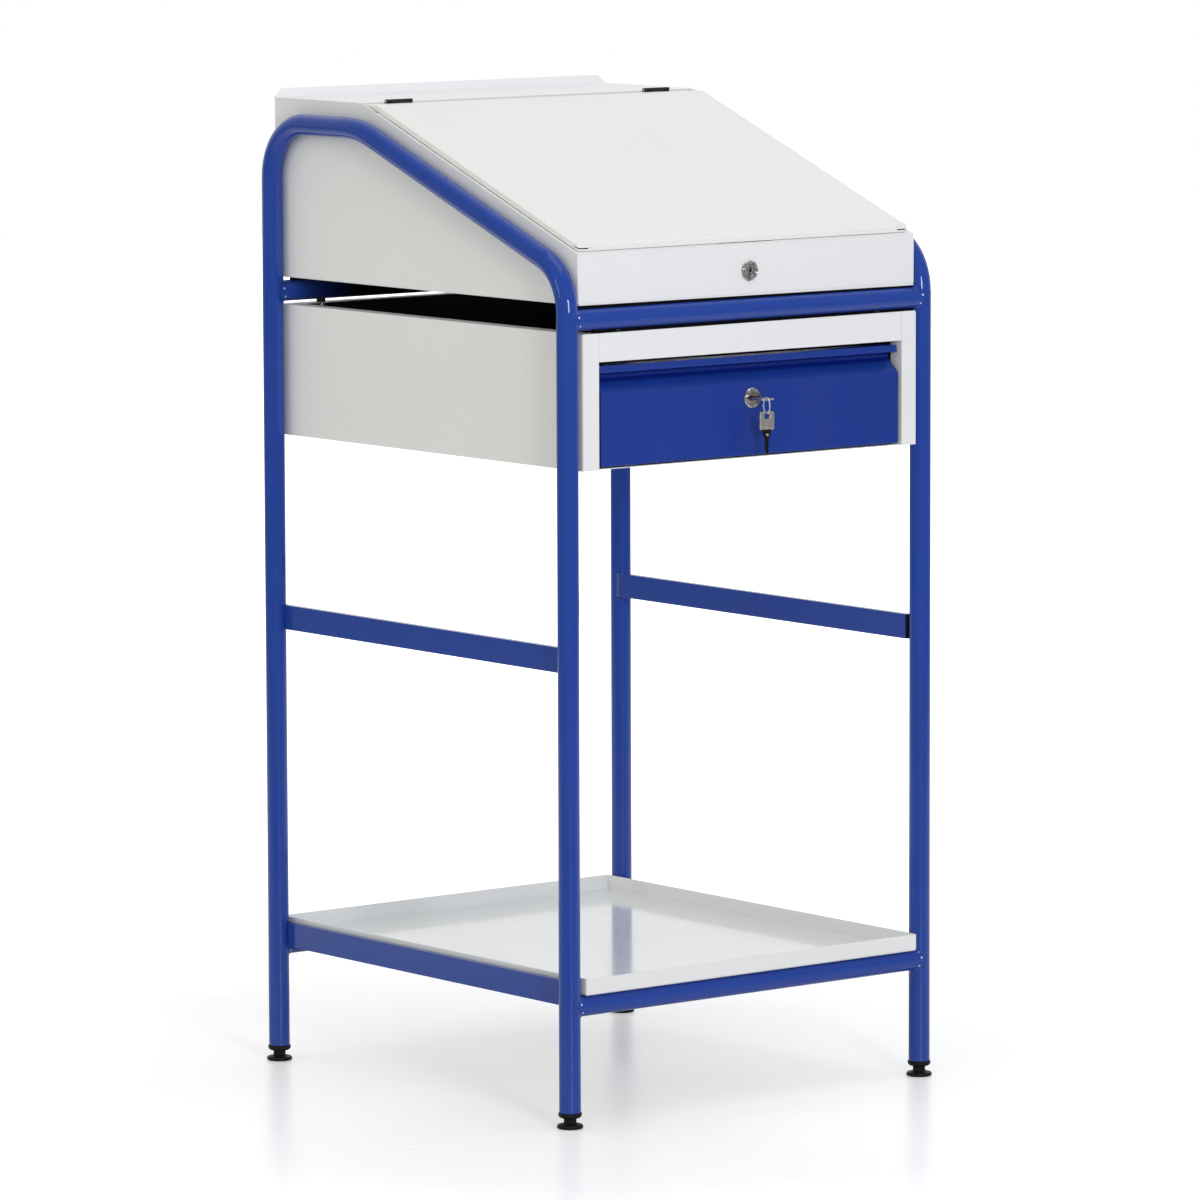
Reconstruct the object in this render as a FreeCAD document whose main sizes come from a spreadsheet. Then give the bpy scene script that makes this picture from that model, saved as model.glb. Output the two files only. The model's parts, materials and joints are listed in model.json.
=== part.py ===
import FreeCAD, Part
import math
import os
import re
import Sketcher
from FreeCAD import Vector

# Clerks standing desk: a tubular steel frame that carries a sloping sheet-steel desk box with a
# hinged, lockable lid, a drawer cabinet hung under it and a low tray shelf.
# X runs across the front, the front faces -Y, Z is up and the feet stand on Z = 0.

doc = FreeCAD.newDocument("StandingDesk")

sizes = {
    # tube frame
    "tubeDiameter": 25, "tubeWall": 1.5, "legX": 262.5, "legY": 282.5, "legFoot": 18.5,
    "loopTop": 1124, "bendRadius": 65, "kneeRadius": 150, "kneeStep": 11.2,
    "upperRailDrop": 200, "lowerRail": 140, "copeStep": 3, "rootGap": 0.2,
    "flatRailHeight": 29, "flatRailDepth": 8, "midFlatRail": 535.5, "lowFlatRise": 13,
    # feet
    "footRadius": 15, "footDisc": 5, "footEdge": 1.2, "neckRadius": 7, "studRadius": 5, "studTop": 40,
    "capRadius": 13.5, "capHeight": 6, "capChamfer": 1.5, "capPlug": 25, "capPlugGap": 0.1,
    # tray shelf
    "sideGap": 2, "trayFrontOver": 13, "trayRearOver": 10.5, "trayHeight": 20, "trayCorner": 3,
    # desk box
    "sheet": 1.2, "boxGap": 0.5, "boxFrontOver": 4.1, "boxFloorGap": 4, "boxRise": 27.6,
    "boxFrontDrop": 153.6, "slopeStart": 119.2, "boxCorner": 2, "mouthFlange": 16,
    "reliefStep": 2, "reliefGap": 2.2, "lockNotchHalf": 40, "lockNotchStep": 0.4,
    "topStep": 7.8, "downFlange": 15, "lipHeight": 10, "lipSlant": 11.5,
    # lid
    "lidSideInset": 4.5, "lidFrontInset": 6.1, "lidSink": 0.8, "lidKneeStep": 22.2, "lidRearGap": 2.2,
    "lidGap": 0.75, "lidCutSide": 8.4, "lidCutFront": 18, "lidNotchHalf": 20, "lidNotch": 3.3,
    "stiffenerY": 80, "stiffenerInset": 8.5, "stiffenerWidth": 60, "stiffenerFoot": 12,
    "stiffenerDepth": 12, "strikeGap": 8, "strikeThick": 1.5, "strikeWidth": 5, "strikeFoot": 11.5,
    "strikeDrop": 6.5,
    # hinges
    "hingeX": 193, "hingeRise": 0.2, "hingeLength": 38, "knuckle": 10, "knuckleRadius": 2.5,
    "pinRadius": 1.5, "runningFit": 0.05, "gap": 0.3, "leaf": 1.2, "fixedLeafDrop": 15,
    "movingLeafLength": 24.3,
    # locks
    "bezelRadius": 12, "bezelThick": 3, "bezelEdge": 1.6, "lockRadius": 9, "plugBore": 6,
    "lockDepth": 26, "nutFlats": 22, "nutThick": 4.5, "camThick": 2.5, "camHalf": 5.5, "camSquare": 3.5,
    "lidCamReach": 18, "camHook": 3.5, "lidLockDrop": 30, "drawerLockDrop": 16.8,
    "slotHalf": 4.3, "slotThick": 2.4, "slotDepth": 24,
    # fixings
    "screwRadius": 3, "screwHeadRadius": 5, "screwHead": 3, "screwGrip": 7.5, "boxScrewRear": 150,
    "boxScrewFront": 180, "cabinetScrewX": 192.5, "spacerRadius": 5.5, "spacerHeight": 3.4,
    "screwRise": 8,
    # cabinet
    "cabinetOver": 10.3, "cabinetHeight": 155.4, "stile": 23, "stileReturn": 20, "topFlange": 20,
    "cabinetCorner": 2.5, "frontRailHeight": 32.6, "frontRailReturn": 27, "floorStep": 4.8,
    # drawer
    "drawerGap": 4, "drawerTopGap": 5.2, "drawerRecess": 2, "drawerRise": 3.1, "drawerLip": 12,
    "grooveRise": 16, "grooveDepth": 18, "grooveBack": 7.5, "noseHeight": 8, "noseLow": 1.6,
    "noseHigh": 3.6, "topReturn": 24, "topReturnDrop": 20.3, "runnerSpace": 13, "trayWallDrop": 2.8,
    "wallReturn": 8, "drawerRearGap": 42.8,
    # runners
    "runnerRise": 40, "runnerHeight": 36, "runnerFrontGap": 30.8, "runnerRearGap": 54.8,
    "runnerFit": 0.4, "runnerOverlap": 1, "supportHeight": 40,
    # keys
    "bowLength": 21, "bowThick": 2, "bowCorner": 5, "bowHole": 3.8, "bowWeb": 2.4, "collarLength": 5.9,
    "collarWide": 12, "collarNarrow": 9.5, "collarThick": 4, "bladeLength": 22, "bladeWide": 8.2,
    "bladeNarrow": 6.6, "bladeThick": 2, "bladeTip": 1, "ringRadius": 9.85, "wireRadius": 0.65,
    "ringX": 1.7, "ringDrop": 7.2, "ringYaw": 18, "spareYaw": 7,
}

places = {
    "tubeRadius": "tubeDiameter / 2",
    "tubeInner": "legX - tubeRadius",
    "upperRail": "loopTop - upperRailDrop",
    "lowFlatRail": "lowerRail + lowFlatRise",
    "flatRailHalf": "legY - sqrt(tubeRadius ^ 2 - (tubeRadius - flatRailDepth) ^ 2)",
    "flatRailShort": "legY - tubeRadius",
    "trayHalf": "tubeInner - sideGap",
    "trayFloor": "lowerRail + tubeRadius",
    "trayFront": "legY + trayFrontOver",
    "trayRear": "legY + trayRearOver",
    "capBottom": "legFoot - capHeight",
    "boxHalf": "tubeInner - boxGap",
    "boxFront": "legY + boxFrontOver",
    "boxRear": "legY + tubeRadius",
    "boxFloor": "upperRail + tubeRadius + boxFloorGap",
    "boxTop": "loopTop + boxRise",
    "boxFrontTop": "boxTop - boxFrontDrop",
    "slope": "atan(boxFrontDrop / (slopeStart + boxFront))",
    "kneeY": "slopeStart - kneeStep",
    "kneeTangent": "kneeRadius * tan(slope / 2)",
    "frontCorner": "loopTop - (kneeY + legY) * tan(slope)",
    "frontTangent": "bendRadius * tan((90 deg - slope) / 2)",
    "topFront": "slopeStart + topStep",
    "hingeY": "topFront - knuckleRadius",
    "hingeZ": "boxTop + sheet + hingeRise",
    "lidHalf": "boxHalf - lidSideInset",
    "lidRear": "hingeY - lidRearGap",
    "lidTop": "boxTop - lidSink",
    "lidKnee": "slopeStart - lidKneeStep",
    "lidFront": "boxFront - lidFrontInset",
    "lidFrontTop": "lidTop - (lidKnee + lidFront) * tan(slope)",
    "lidInnerKnee": "lidKnee + sheet * tan(slope / 2)",
    "lidInnerFront": "lidFrontTop + (sheet * sin(slope) - sheet) / cos(slope)",
    "reliefFront": "lidKnee - reliefStep",
    "reliefRear": "topFront + sheet + gap",
    "reliefHalf": "lidHalf + reliefGap",
    "rimFrontTop": "boxFrontTop + sheet * tan(slope)",
    "skirtFront": "boxTop - (slopeStart + lidFront) * tan(slope) + lidGap",
    "skirtRear": "boxTop - (slopeStart - reliefFront) * tan(slope) + lidGap",
    "stiffenerHalf": "boxHalf - mouthFlange - stiffenerInset",
    "stiffenerZ": "lidTop - (lidKnee + stiffenerY) * tan(slope) - sheet / cos(slope)",
    "lidLockZ": "boxFrontTop - lidLockDrop",
    "lidCamFront": "boxFront - lockDepth - gap",
    "strikeX": "lidCamReach + strikeGap",
    "strikeMid": "lidCamFront - camThick / 2",
    "strikeTop": "lidTop - (lidKnee + strikeMid) * tan(slope) - sheet / cos(slope)",
    "strikeTilt": "strikeWidth / 2 * tan(slope)",
    "strikeLow": "lidLockZ - strikeDrop",
    "pinBore": "pinRadius + runningFit",
    "plugRadius": "plugBore - runningFit",
    "lockHole": "lockRadius + runningFit",
    "nutCorner": "nutFlats / sqrt(3)",
    "boxScrewSlopeZ": "loopTop - (kneeY + boxScrewFront) * tan(slope)",
    "cabinetHalf": "tubeInner - sideGap",
    "cabinetDepth": "legY + cabinetOver",
    "cabinetTop": "upperRail - tubeRadius - spacerHeight",
    "cabinetFloor": "cabinetTop - cabinetHeight",
    "floorFront": "cabinetDepth - floorStep",
    "openingHalf": "cabinetHalf - stile",
    "frontRailLow": "cabinetTop - frontRailHeight",
    "drawerHalf": "openingHalf - drawerGap",
    "drawerFace": "cabinetDepth - drawerRecess",
    "drawerBack": "drawerFace - sheet",
    "drawerRear": "cabinetDepth - drawerRearGap",
    "drawerFloor": "cabinetFloor + drawerRise",
    "drawerTrayFloor": "drawerFloor + sheet",
    "drawerTop": "frontRailLow - drawerTopGap",
    "railLow": "drawerTop - noseHeight",
    "grooveHigh": "railLow - grooveBack",
    "grooveLow": "grooveHigh - grooveRise",
    "topReturnLow": "drawerTop - topReturnDrop",
    "grooveMitre": "tan(45 deg - atan(grooveRise / grooveDepth) / 2)",
    "noseAngle": "atan((noseHigh - noseLow) / noseHeight)",
    "noseLowMitre": "tan(45 deg + noseAngle / 2)",
    "noseHighMitre": "tan(45 deg - noseAngle / 2)",
    "trayWallHalf": "openingHalf - runnerSpace",
    "trayWallTop": "grooveLow - trayWallDrop",
    "drawerLockZ": "grooveLow - drawerLockDrop",
    "drawerCamReach": "frontRailLow + camHook - drawerLockZ",
    "runnerMid": "drawerTrayFloor + runnerRise",
    "runnerFront": "cabinetDepth - runnerFrontGap",
    "runnerLength": "runnerFront + cabinetDepth - runnerRearGap",
    "runnerStep": "sheet + runnerFit",
    "runnerLip": "trayWallHalf + sheet + runnerOverlap",
    "bowHalf": "bowLength / 2",
    "keyEnd": "drawerFace + bezelThick + gap + collarLength + bowLength",
    "ringY": "keyEnd - bowWeb / 2",
    "ringZ": "drawerLockZ - ringDrop",
    "spareTop": "ringZ - ringRadius + wireRadius + gap + bowWeb",
    "originShift": "(ringY + (ringRadius + wireRadius) * cos(ringYaw * 1 deg) - legY - footRadius) / 2",
}

roughSize = 50


def fillSheet(name, entries):
    sheet = doc.addObject("Spreadsheet::Sheet", name)
    for row, (alias, entry) in enumerate(entries.items(), start=1):
        sheet.set(f"A{row}", alias)
        sheet.set(f"B{row}", str(entry))
        sheet.setAlias(f"B{row}", alias)
    return sheet


linked = {name: "Sizes." + name for name in sizes}
formulas = {name: "=" + re.sub(r"[A-Za-z]\w*", lambda word: linked.get(word[0], word[0]), text)
            for name, text in places.items()}
sizeSheet = fillSheet("Sizes", sizes)
placeSheet = fillSheet("Places", formulas)
linked.update({name: "Places." + name for name in places})
doc.recompute()

nodes = []


def link(text):
    return re.sub(r"[A-Za-z]\w*", lambda word: linked.get(word[0], word[0]), text)


def value(name):
    return float(getattr(placeSheet if name in places else sizeSheet, name))


def newBody(name, x="0", y="0", z="0", grouped=False):
    body = doc.addObject("PartDesign::Body", name)
    body.Label = name
    body.AllowCompound = grouped
    body.setExpression("Placement.Base.x", link(x))
    body.setExpression("Placement.Base.y", link(f"{y} + originShift"))
    body.setExpression("Placement.Base.z", link(z))
    nodes.append(body)
    return body


def plane(body, role):
    return next(item for item in body.Origin.OriginFeatures if item.Role == role)


def newSketch(body, name, role, offset="0"):
    sketch = body.newObject("Sketcher::SketchObject", name)
    sketch.AttachmentSupport = (plane(body, role), "")
    sketch.MapMode = "FlatFace"
    sketch.setExpression("AttachmentOffset.Base.z", link(offset))
    return sketch


def hold(sketch, geometry, point, x, y):
    spot = sketch.getPoint(geometry, point)
    for direction, start, text in (("DistanceX", spot.x, x), ("DistanceY", spot.y, y)):
        index = sketch.addConstraint(Sketcher.Constraint(direction, -1, 1, geometry, point, start))
        sketch.setExpression(f"Constraints[{index}]", link(text))


def polygon(sketch, corners):
    count = len(corners)
    turn = 2 * math.pi / count
    rough = [Vector(roughSize * math.cos(turn * i), roughSize * math.sin(turn * i), 0) for i in range(count)]
    first = sketch.GeometryCount
    for i in range(count):
        sketch.addGeometry(Part.LineSegment(rough[i], rough[(i + 1) % count]), False)
    for i in range(count):
        following = first + (i + 1) % count
        sketch.addConstraint(Sketcher.Constraint("Coincident", first + i, 2, following, 1))
    for i, (x, y) in enumerate(corners):
        hold(sketch, first + i, 1, x, y)


def rectangle(sketch, left, right, low, high):
    polygon(sketch, [(left, low), (right, low), (right, high), (left, high)])


def circle(sketch, x, y, radius):
    rough = Part.Circle(Vector(1, 1, 0), Vector(0, 0, 1), 1)
    index = sketch.addGeometry(rough, False)
    hold(sketch, index, 3, x, y)
    size = sketch.addConstraint(Sketcher.Constraint("Radius", index, 1.0))
    sketch.setExpression(f"Constraints[{size}]", link(radius))


def fold(path):
    outer = [(x, y) for x, y, _, _ in path]
    inner = [(f"{x} + ({dx}) * sheet", f"{y} + ({dy}) * sheet") for x, y, dx, dy in path]
    return outer + inner[::-1]


def extrude(body, kind, sketch, length, symmetric, back):
    feature = body.newObject("PartDesign::" + kind, sketch.Name + kind)
    feature.Profile = sketch
    feature.setExpression("Length", link(length))
    feature.SideType = "Symmetric" if symmetric else "One side"
    feature.Reversed = back
    return feature


def pad(body, sketch, length, symmetric=False, back=False):
    return extrude(body, "Pad", sketch, length, symmetric, back)


def pocket(body, sketch, length, symmetric=False, back=False):
    return extrude(body, "Pocket", sketch, length, symmetric, back)


def soften(body, name, kind, size, chosen):
    doc.recompute()
    base = body.Tip
    picked = [f"Edge{i}" for i, edge in enumerate(base.Shape.Edges, start=1) if chosen(edge)]
    feature = body.newObject("PartDesign::" + kind, name)
    feature.Base = (base, picked)
    feature.setExpression("Radius" if kind == "Fillet" else "Size", link(size))
    return feature


def mirror(body, name, originals):
    feature = body.newObject("PartDesign::Mirrored", name)
    feature.Originals = originals
    feature.MirrorPlane = (plane(body, "YZ_Plane"), [""])
    body.Tip = feature


def along(edge, axis):
    box = edge.BoundBox
    spans = {"x": box.XLength, "y": box.YLength, "z": box.ZLength}
    return spans[axis] > 1 and all(span < 0.01 for key, span in spans.items() if key != axis)


def near(number, name):
    return abs(number - value(name)) < 0.01


def loopSpine(body, name):
    sketch = newSketch(body, name, "YZ_Plane")
    slope = math.radians(value("slope"))
    leg = value("legY")
    foot = value("legFoot")
    top = value("loopTop")
    bend = value("bendRadius")
    knee = value("kneeY")
    kneeRun = value("kneeTangent")
    corner = value("frontCorner")
    cornerRun = value("frontTangent")
    down = Vector(-math.cos(slope), -math.sin(slope), 0)
    kneePoint = Vector(knee, top, 0)
    cornerPoint = Vector(-leg, corner, 0)
    ends = [Vector(leg, foot, 0), Vector(leg, top - bend, 0),
            Vector(leg - bend, top, 0), Vector(knee + kneeRun, top, 0),
            kneePoint + down * kneeRun, cornerPoint - down * cornerRun,
            Vector(-leg, corner - cornerRun, 0), Vector(-leg, foot, 0)]
    runs = [sketch.addGeometry(Part.LineSegment(ends[i], ends[i + 1]), False) for i in (0, 2, 4, 6)]
    centres = [Vector(leg - bend, top - bend, 0),
               Vector(knee + kneeRun, top - value("kneeRadius"), 0),
               Vector(-leg + bend, corner - cornerRun, 0)]
    for i, centre in enumerate(centres):
        start, end = ends[2 * i + 1] - centre, ends[2 * i + 2] - centre
        ring = Part.Circle(centre, Vector(0, 0, 1), start.Length)
        arc = Part.ArcOfCircle(ring, math.atan2(start.y, start.x), math.atan2(end.y, end.x))
        index = sketch.addGeometry(arc, False)
        sketch.addConstraint(Sketcher.Constraint("Tangent", runs[i], 2, index, 1))
        sketch.addConstraint(Sketcher.Constraint("Tangent", index, 2, runs[i + 1], 1))
        size = sketch.addConstraint(Sketcher.Constraint("Radius", index, start.Length))
        sketch.setExpression(f"Constraints[{size}]", link("kneeRadius" if i == 1 else "bendRadius"))
    sketch.addConstraint(Sketcher.Constraint("Vertical", runs[0]))
    sketch.addConstraint(Sketcher.Constraint("Horizontal", runs[1]))
    level = sketch.addConstraint(Sketcher.Constraint("DistanceY", -1, 1, runs[1], 2, top))
    sketch.setExpression(f"Constraints[{level}]", link("loopTop"))
    sketch.addConstraint(Sketcher.Constraint("Vertical", runs[3]))
    hold(sketch, runs[0], 1, "legY", "legFoot")
    hold(sketch, runs[3], 2, "-legY", "legFoot")
    for point, y, z in ((kneePoint, "kneeY", "loopTop"), (cornerPoint, "-legY", "frontCorner")):
        virtual = sketch.addGeometry(Part.Point(point), True)
        hold(sketch, virtual, 1, y, z)
        sketch.addConstraint(Sketcher.Constraint("PointOnObject", virtual, 1, runs[2]))
    return sketch


def sideLoop(name, side):
    body = newBody(name, x=f"{side} * legX")
    spine = loopSpine(body, name + "_spine")
    section = newSketch(body, name + "_section", "XY_Plane", "legFoot")
    circle(section, "0", "legY", "tubeRadius")
    circle(section, "0", "legY", "tubeRadius - tubeWall")
    tube = body.newObject("PartDesign::AdditivePipe", name + "_tube")
    tube.Profile = section
    tube.Spine = (spine, [])
    holes = newSketch(body, name + "_holes", "YZ_Plane")
    circle(holes, "boxScrewRear", "loopTop", "screwRadius + runningFit")
    circle(holes, "-boxScrewFront", "boxScrewSlopeZ", "screwRadius + runningFit")
    pocket(body, holes, "tubeDiameter", back=side < 0)


def crossRail(name, end, height, holed):
    body = newBody(name, y=f"{end} * legY", z=height)
    section = newSketch(body, name + "_section", "YZ_Plane")
    circle(section, "0", "0", "tubeRadius")
    circle(section, "0", "0", "tubeRadius - tubeWall")
    pad(body, section, "2 * (legX - copeStep)", symmetric=True)
    copes = newSketch(body, name + "_copes", "XY_Plane")
    for side in (-1, 1):
        circle(copes, f"{side} * legX", "0", "tubeRadius + rootGap")
    pocket(body, copes, "2 * tubeDiameter", symmetric=True)
    if holed:
        holes = newSketch(body, name + "_holes", "XY_Plane")
        for side in (-1, 1):
            circle(holes, f"{side} * cabinetScrewX", "0", "screwRadius + runningFit")
        pocket(body, holes, "tubeDiameter")


def flatRail(name, side, height, half):
    body = newBody(name, x=f"{side} * (tubeInner + flatRailDepth / 2)", z=height)
    section = newSketch(body, name + "_section", "XZ_Plane")
    rectangle(section, "-flatRailDepth / 2", "flatRailDepth / 2", "-flatRailHeight / 2", "flatRailHeight / 2")
    rectangle(section, "tubeWall - flatRailDepth / 2", "flatRailDepth / 2 - tubeWall",
              "tubeWall - flatRailHeight / 2", "flatRailHeight / 2 - tubeWall")
    pad(body, section, f"2 * {half}", symmetric=True)


def trayShelf():
    body = newBody("tray_shelf")
    outline = newSketch(body, "tray_outline", "XY_Plane", "trayFloor")
    rectangle(outline, "-trayHalf", "trayHalf", "-trayFront", "trayRear")
    pad(body, outline, "trayHeight")
    floor = value("trayFloor")
    soften(body, "tray_corners", "Fillet", "trayCorner",
           lambda edge: along(edge, "z") or abs(edge.BoundBox.ZMax - floor) < 0.01)
    doc.recompute()
    base = body.Tip
    faces = [f"Face{i}" for i, face in enumerate(base.Shape.Faces, start=1)
             if face.BoundBox.ZMin > floor + value("trayHeight") - 0.01]
    hollow = body.newObject("PartDesign::Thickness", "tray_hollow")
    hollow.Base = (base, faces)
    hollow.Reversed = True
    hollow.setExpression("Value", link("sheet"))


def legCaps():
    body = newBody("leg_caps", grouped=True)
    collar = newSketch(body, "cap_collars", "XY_Plane", "capBottom")
    plug = newSketch(body, "cap_plugs", "XY_Plane", "legFoot")
    for end in (-1, 1):
        circle(collar, "legX", f"{end} * legY", "capRadius")
        circle(collar, "legX", f"{end} * legY", "studRadius + runningFit")
        circle(plug, "legX", f"{end} * legY", "tubeRadius - tubeWall - capPlugGap")
        circle(plug, "legX", f"{end} * legY", "studRadius + runningFit")
    collars = pad(body, collar, "capHeight")
    plugs = pad(body, plug, "capPlug")
    mirror(body, "cap_pairs", [collars, plugs])
    soften(body, "cap_bevels", "Chamfer", "capChamfer",
           lambda edge: near(edge.BoundBox.ZMax, "capBottom")
           and edge.BoundBox.XLength > value("tubeDiameter"))


def levellingFoot(name, side, end):
    body = newBody(name, x=f"{side} * legX", y=f"{end} * legY")
    profile = newSketch(body, name + "_profile", "XZ_Plane")
    polygon(profile, [("0", "0"), ("footRadius - footEdge", "0"), ("footRadius", "footEdge"),
                      ("footRadius", "footDisc - footEdge"), ("footRadius - footEdge", "footDisc"),
                      ("neckRadius + footEdge", "footDisc"), ("neckRadius", "footDisc + footEdge"),
                      ("neckRadius", "capBottom - gap"), ("studRadius", "capBottom - gap"),
                      ("studRadius", "studTop"), ("0", "studTop")])
    turned = body.newObject("PartDesign::Revolution", name + "_turned")
    turned.Profile = profile
    turned.ReferenceAxis = (profile, ["V_Axis"])
    turned.Angle = 360


def deskBoxShell():
    body = newBody("desk_box_shell")
    outer = newSketch(body, "shell_outer", "YZ_Plane")
    polygon(outer, [("-boxFront", "boxFloor"), ("boxRear", "boxFloor"), ("boxRear", "boxTop"),
                    ("slopeStart", "boxTop"), ("-boxFront", "boxFrontTop")])
    pad(body, outer, "2 * boxHalf", symmetric=True)
    floor = value("boxFloor")
    soften(body, "shell_corners", "Fillet", "boxCorner",
           lambda edge: along(edge, "z") or abs(edge.BoundBox.ZMax - floor) < 0.01)
    inner = newSketch(body, "shell_inner", "YZ_Plane")
    rectangle(inner, "sheet - boxFront", "boxRear - sheet", "boxFloor + sheet", "boxTop + sheet")
    pocket(body, inner, "2 * (boxHalf - sheet)", symmetric=True)
    lockHole = newSketch(body, "shell_lock_hole", "XZ_Plane", "boxFront")
    circle(lockHole, "0", "lidLockZ", "lockHole")
    pocket(body, lockHole, "bezelThick")
    screwHoles = newSketch(body, "shell_screw_holes", "YZ_Plane")
    circle(screwHoles, "boxScrewRear", "loopTop", "screwRadius + runningFit")
    circle(screwHoles, "-boxScrewFront", "boxScrewSlopeZ", "screwRadius + runningFit")
    pocket(body, screwHoles, "3 * boxHalf", symmetric=True)


def deskBoxRim():
    body = newBody("desk_box_rim")
    strip = newSketch(body, "rim_strip", "YZ_Plane")
    polygon(strip, [("boxRear - sheet", "boxTop - sheet"), ("boxRear - sheet", "boxTop"),
                    ("slopeStart", "boxTop"), ("sheet - boxFront", "rimFrontTop"),
                    ("sheet - boxFront", "rimFrontTop - sheet / cos(slope)"),
                    ("slopeStart + sheet * tan(slope / 2)", "boxTop - sheet")])
    pad(body, strip, "2 * (boxHalf - sheet)", symmetric=True)
    mouths = {"rim_mouth": ("boxHalf - mouthFlange", "mouthFlange - boxFront", "boxRear - mouthFlange"),
              "rim_relief": ("reliefHalf", "reliefFront", "reliefRear"),
              "rim_lock_notch": ("lockNotchHalf", "lockNotchStep - lidFront",
                                 "mouthFlange - boxFront + sheet")}
    for name, (half, front, rear) in mouths.items():
        mouth = newSketch(body, name, "XY_Plane", "boxTop")
        rectangle(mouth, f"-({half})", half, front, rear)
        pocket(body, mouth, "boxTop - boxFrontTop + mouthFlange")


def deskBoxTop():
    body = newBody("desk_box_top")
    plate = newSketch(body, "top_plate", "YZ_Plane")
    lip = "boxTop + sheet + lipHeight"
    polygon(plate, [("topFront", "boxTop"), ("boxRear", "boxTop"), ("boxRear", lip), ("boxRear - sheet", lip),
                    ("boxRear - sheet", "boxTop + sheet"), ("topFront", "boxTop + sheet")])
    pad(body, plate, "2 * boxHalf", symmetric=True)
    flange = newSketch(body, "top_down_flange", "YZ_Plane")
    rectangle(flange, "topFront", "topFront + sheet", "boxTop + sheet - downFlange", "boxTop + sheet / 2")
    pad(body, flange, "2 * (reliefHalf - gap)", symmetric=True)
    slants = newSketch(body, "top_lip_slants", "XZ_Plane")
    for side in (-1, 1):
        polygon(slants, [(f"{side} * boxHalf", "boxTop + sheet"),
                         (f"{side} * (boxHalf + 1)", "boxTop + sheet"),
                         (f"{side} * (boxHalf + 1)", lip + " + 1"),
                         (f"{side} * (boxHalf - lipSlant)", lip + " + 1"),
                         (f"{side} * (boxHalf - lipSlant)", lip)])
    pocket(body, slants, "boxRear + 1")
    soften(body, "top_front_fold", "Fillet", "sheet / 2", lambda edge: along(edge, "x")
           and near(edge.BoundBox.YMax, "topFront") and edge.BoundBox.ZMin > value("boxTop") + 1)


def lid():
    body = newBody("lid")
    outer = newSketch(body, "lid_outer", "YZ_Plane")
    polygon(outer, [("lidRear", "lidTop"), ("lidKnee", "lidTop"), ("-lidFront", "lidFrontTop"),
                    ("-lidFront", "skirtFront"), ("reliefFront", "skirtRear"), ("lidRear", "skirtRear")])
    pad(body, outer, "2 * lidHalf", symmetric=True)
    front, half, top = -value("lidFront"), value("lidHalf"), value("lidTop")
    low = value("skirtFront")
    soften(body, "lid_folds", "Fillet", "boxCorner",
           lambda edge: (along(edge, "x") and abs(edge.CenterOfMass.y - front) < 0.01
                         and edge.BoundBox.ZMin > low + 1)
           or (abs(abs(edge.CenterOfMass.x) - half) < 0.01 and edge.BoundBox.YLength > 1
               and edge.BoundBox.ZMax > top - 0.01))
    inner = newSketch(body, "lid_inner", "YZ_Plane")
    polygon(inner, [("lidRear + 1", "lidTop - sheet"), ("lidInnerKnee", "lidTop - sheet"),
                    ("sheet - lidFront", "lidInnerFront"), ("sheet - lidFront", "skirtFront - 1"),
                    ("lidRear + 1", "skirtFront - 1")])
    pocket(body, inner, "2 * (lidHalf - sheet)", symmetric=True)
    cuts = newSketch(body, "lid_corner_cuts", "XY_Plane", "lidTop")
    for side in (-1, 1):
        polygon(cuts, [(f"{side} * (lidHalf - lidCutFront)", "-lidFront - 1"),
                       (f"{side} * (lidHalf + 1)", "-lidFront - 1"),
                       (f"{side} * (lidHalf + 1)", "lidCutSide - lidFront"),
                       (f"{side} * lidHalf", "lidCutSide - lidFront"),
                       (f"{side} * (lidHalf - lidCutFront)", "-lidFront")])
        rectangle(cuts, f"{side} * hingeX - lidNotchHalf", f"{side} * hingeX + lidNotchHalf",
                  "lidRear - lidNotch", "lidRear + 1")
    pocket(body, cuts, "lidTop - boxFrontTop")


def lidStiffener():
    body = newBody("lid_stiffener", y="-stiffenerY", z="stiffenerZ")
    body.Placement = FreeCAD.Placement(Vector(), FreeCAD.Rotation(Vector(1, 0, 0), value("slope")))
    body.setExpression("Placement.Rotation.Angle", link("slope"))
    hat = newSketch(body, "stiffener_hat", "YZ_Plane")
    half = "stiffenerWidth / 2"
    web = "stiffenerWidth / 2 - stiffenerFoot"
    polygon(hat, fold([(f"-{half}", "0", 0, -1), (f"-({web})", "0", -1, -1),
                       (f"-({web})", "sheet - stiffenerDepth", -1, -1),
                       (web, "sheet - stiffenerDepth", 1, -1),
                       (web, "0", 1, -1), (half, "0", 0, -1)]))
    pad(body, hat, "2 * stiffenerHalf", symmetric=True)


def lidStrike():
    body = newBody("lid_strike")
    blade = newSketch(body, "strike_blade", "YZ_Plane", "strikeX")
    front = "-strikeMid - strikeWidth / 2"
    rear = "strikeWidth / 2 - strikeMid"
    polygon(blade, [(front, "strikeLow - strikeThick"), (rear, "strikeLow - strikeThick"),
                    (rear, "strikeTop + strikeTilt"), (front, "strikeTop - strikeTilt")])
    pad(body, blade, "strikeThick")
    foot = newSketch(body, "strike_foot", "XZ_Plane", "strikeMid")
    rectangle(foot, "strikeX - strikeFoot", "strikeX", "strikeLow - strikeThick", "strikeLow")
    pad(body, foot, "strikeWidth", symmetric=True)


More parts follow.
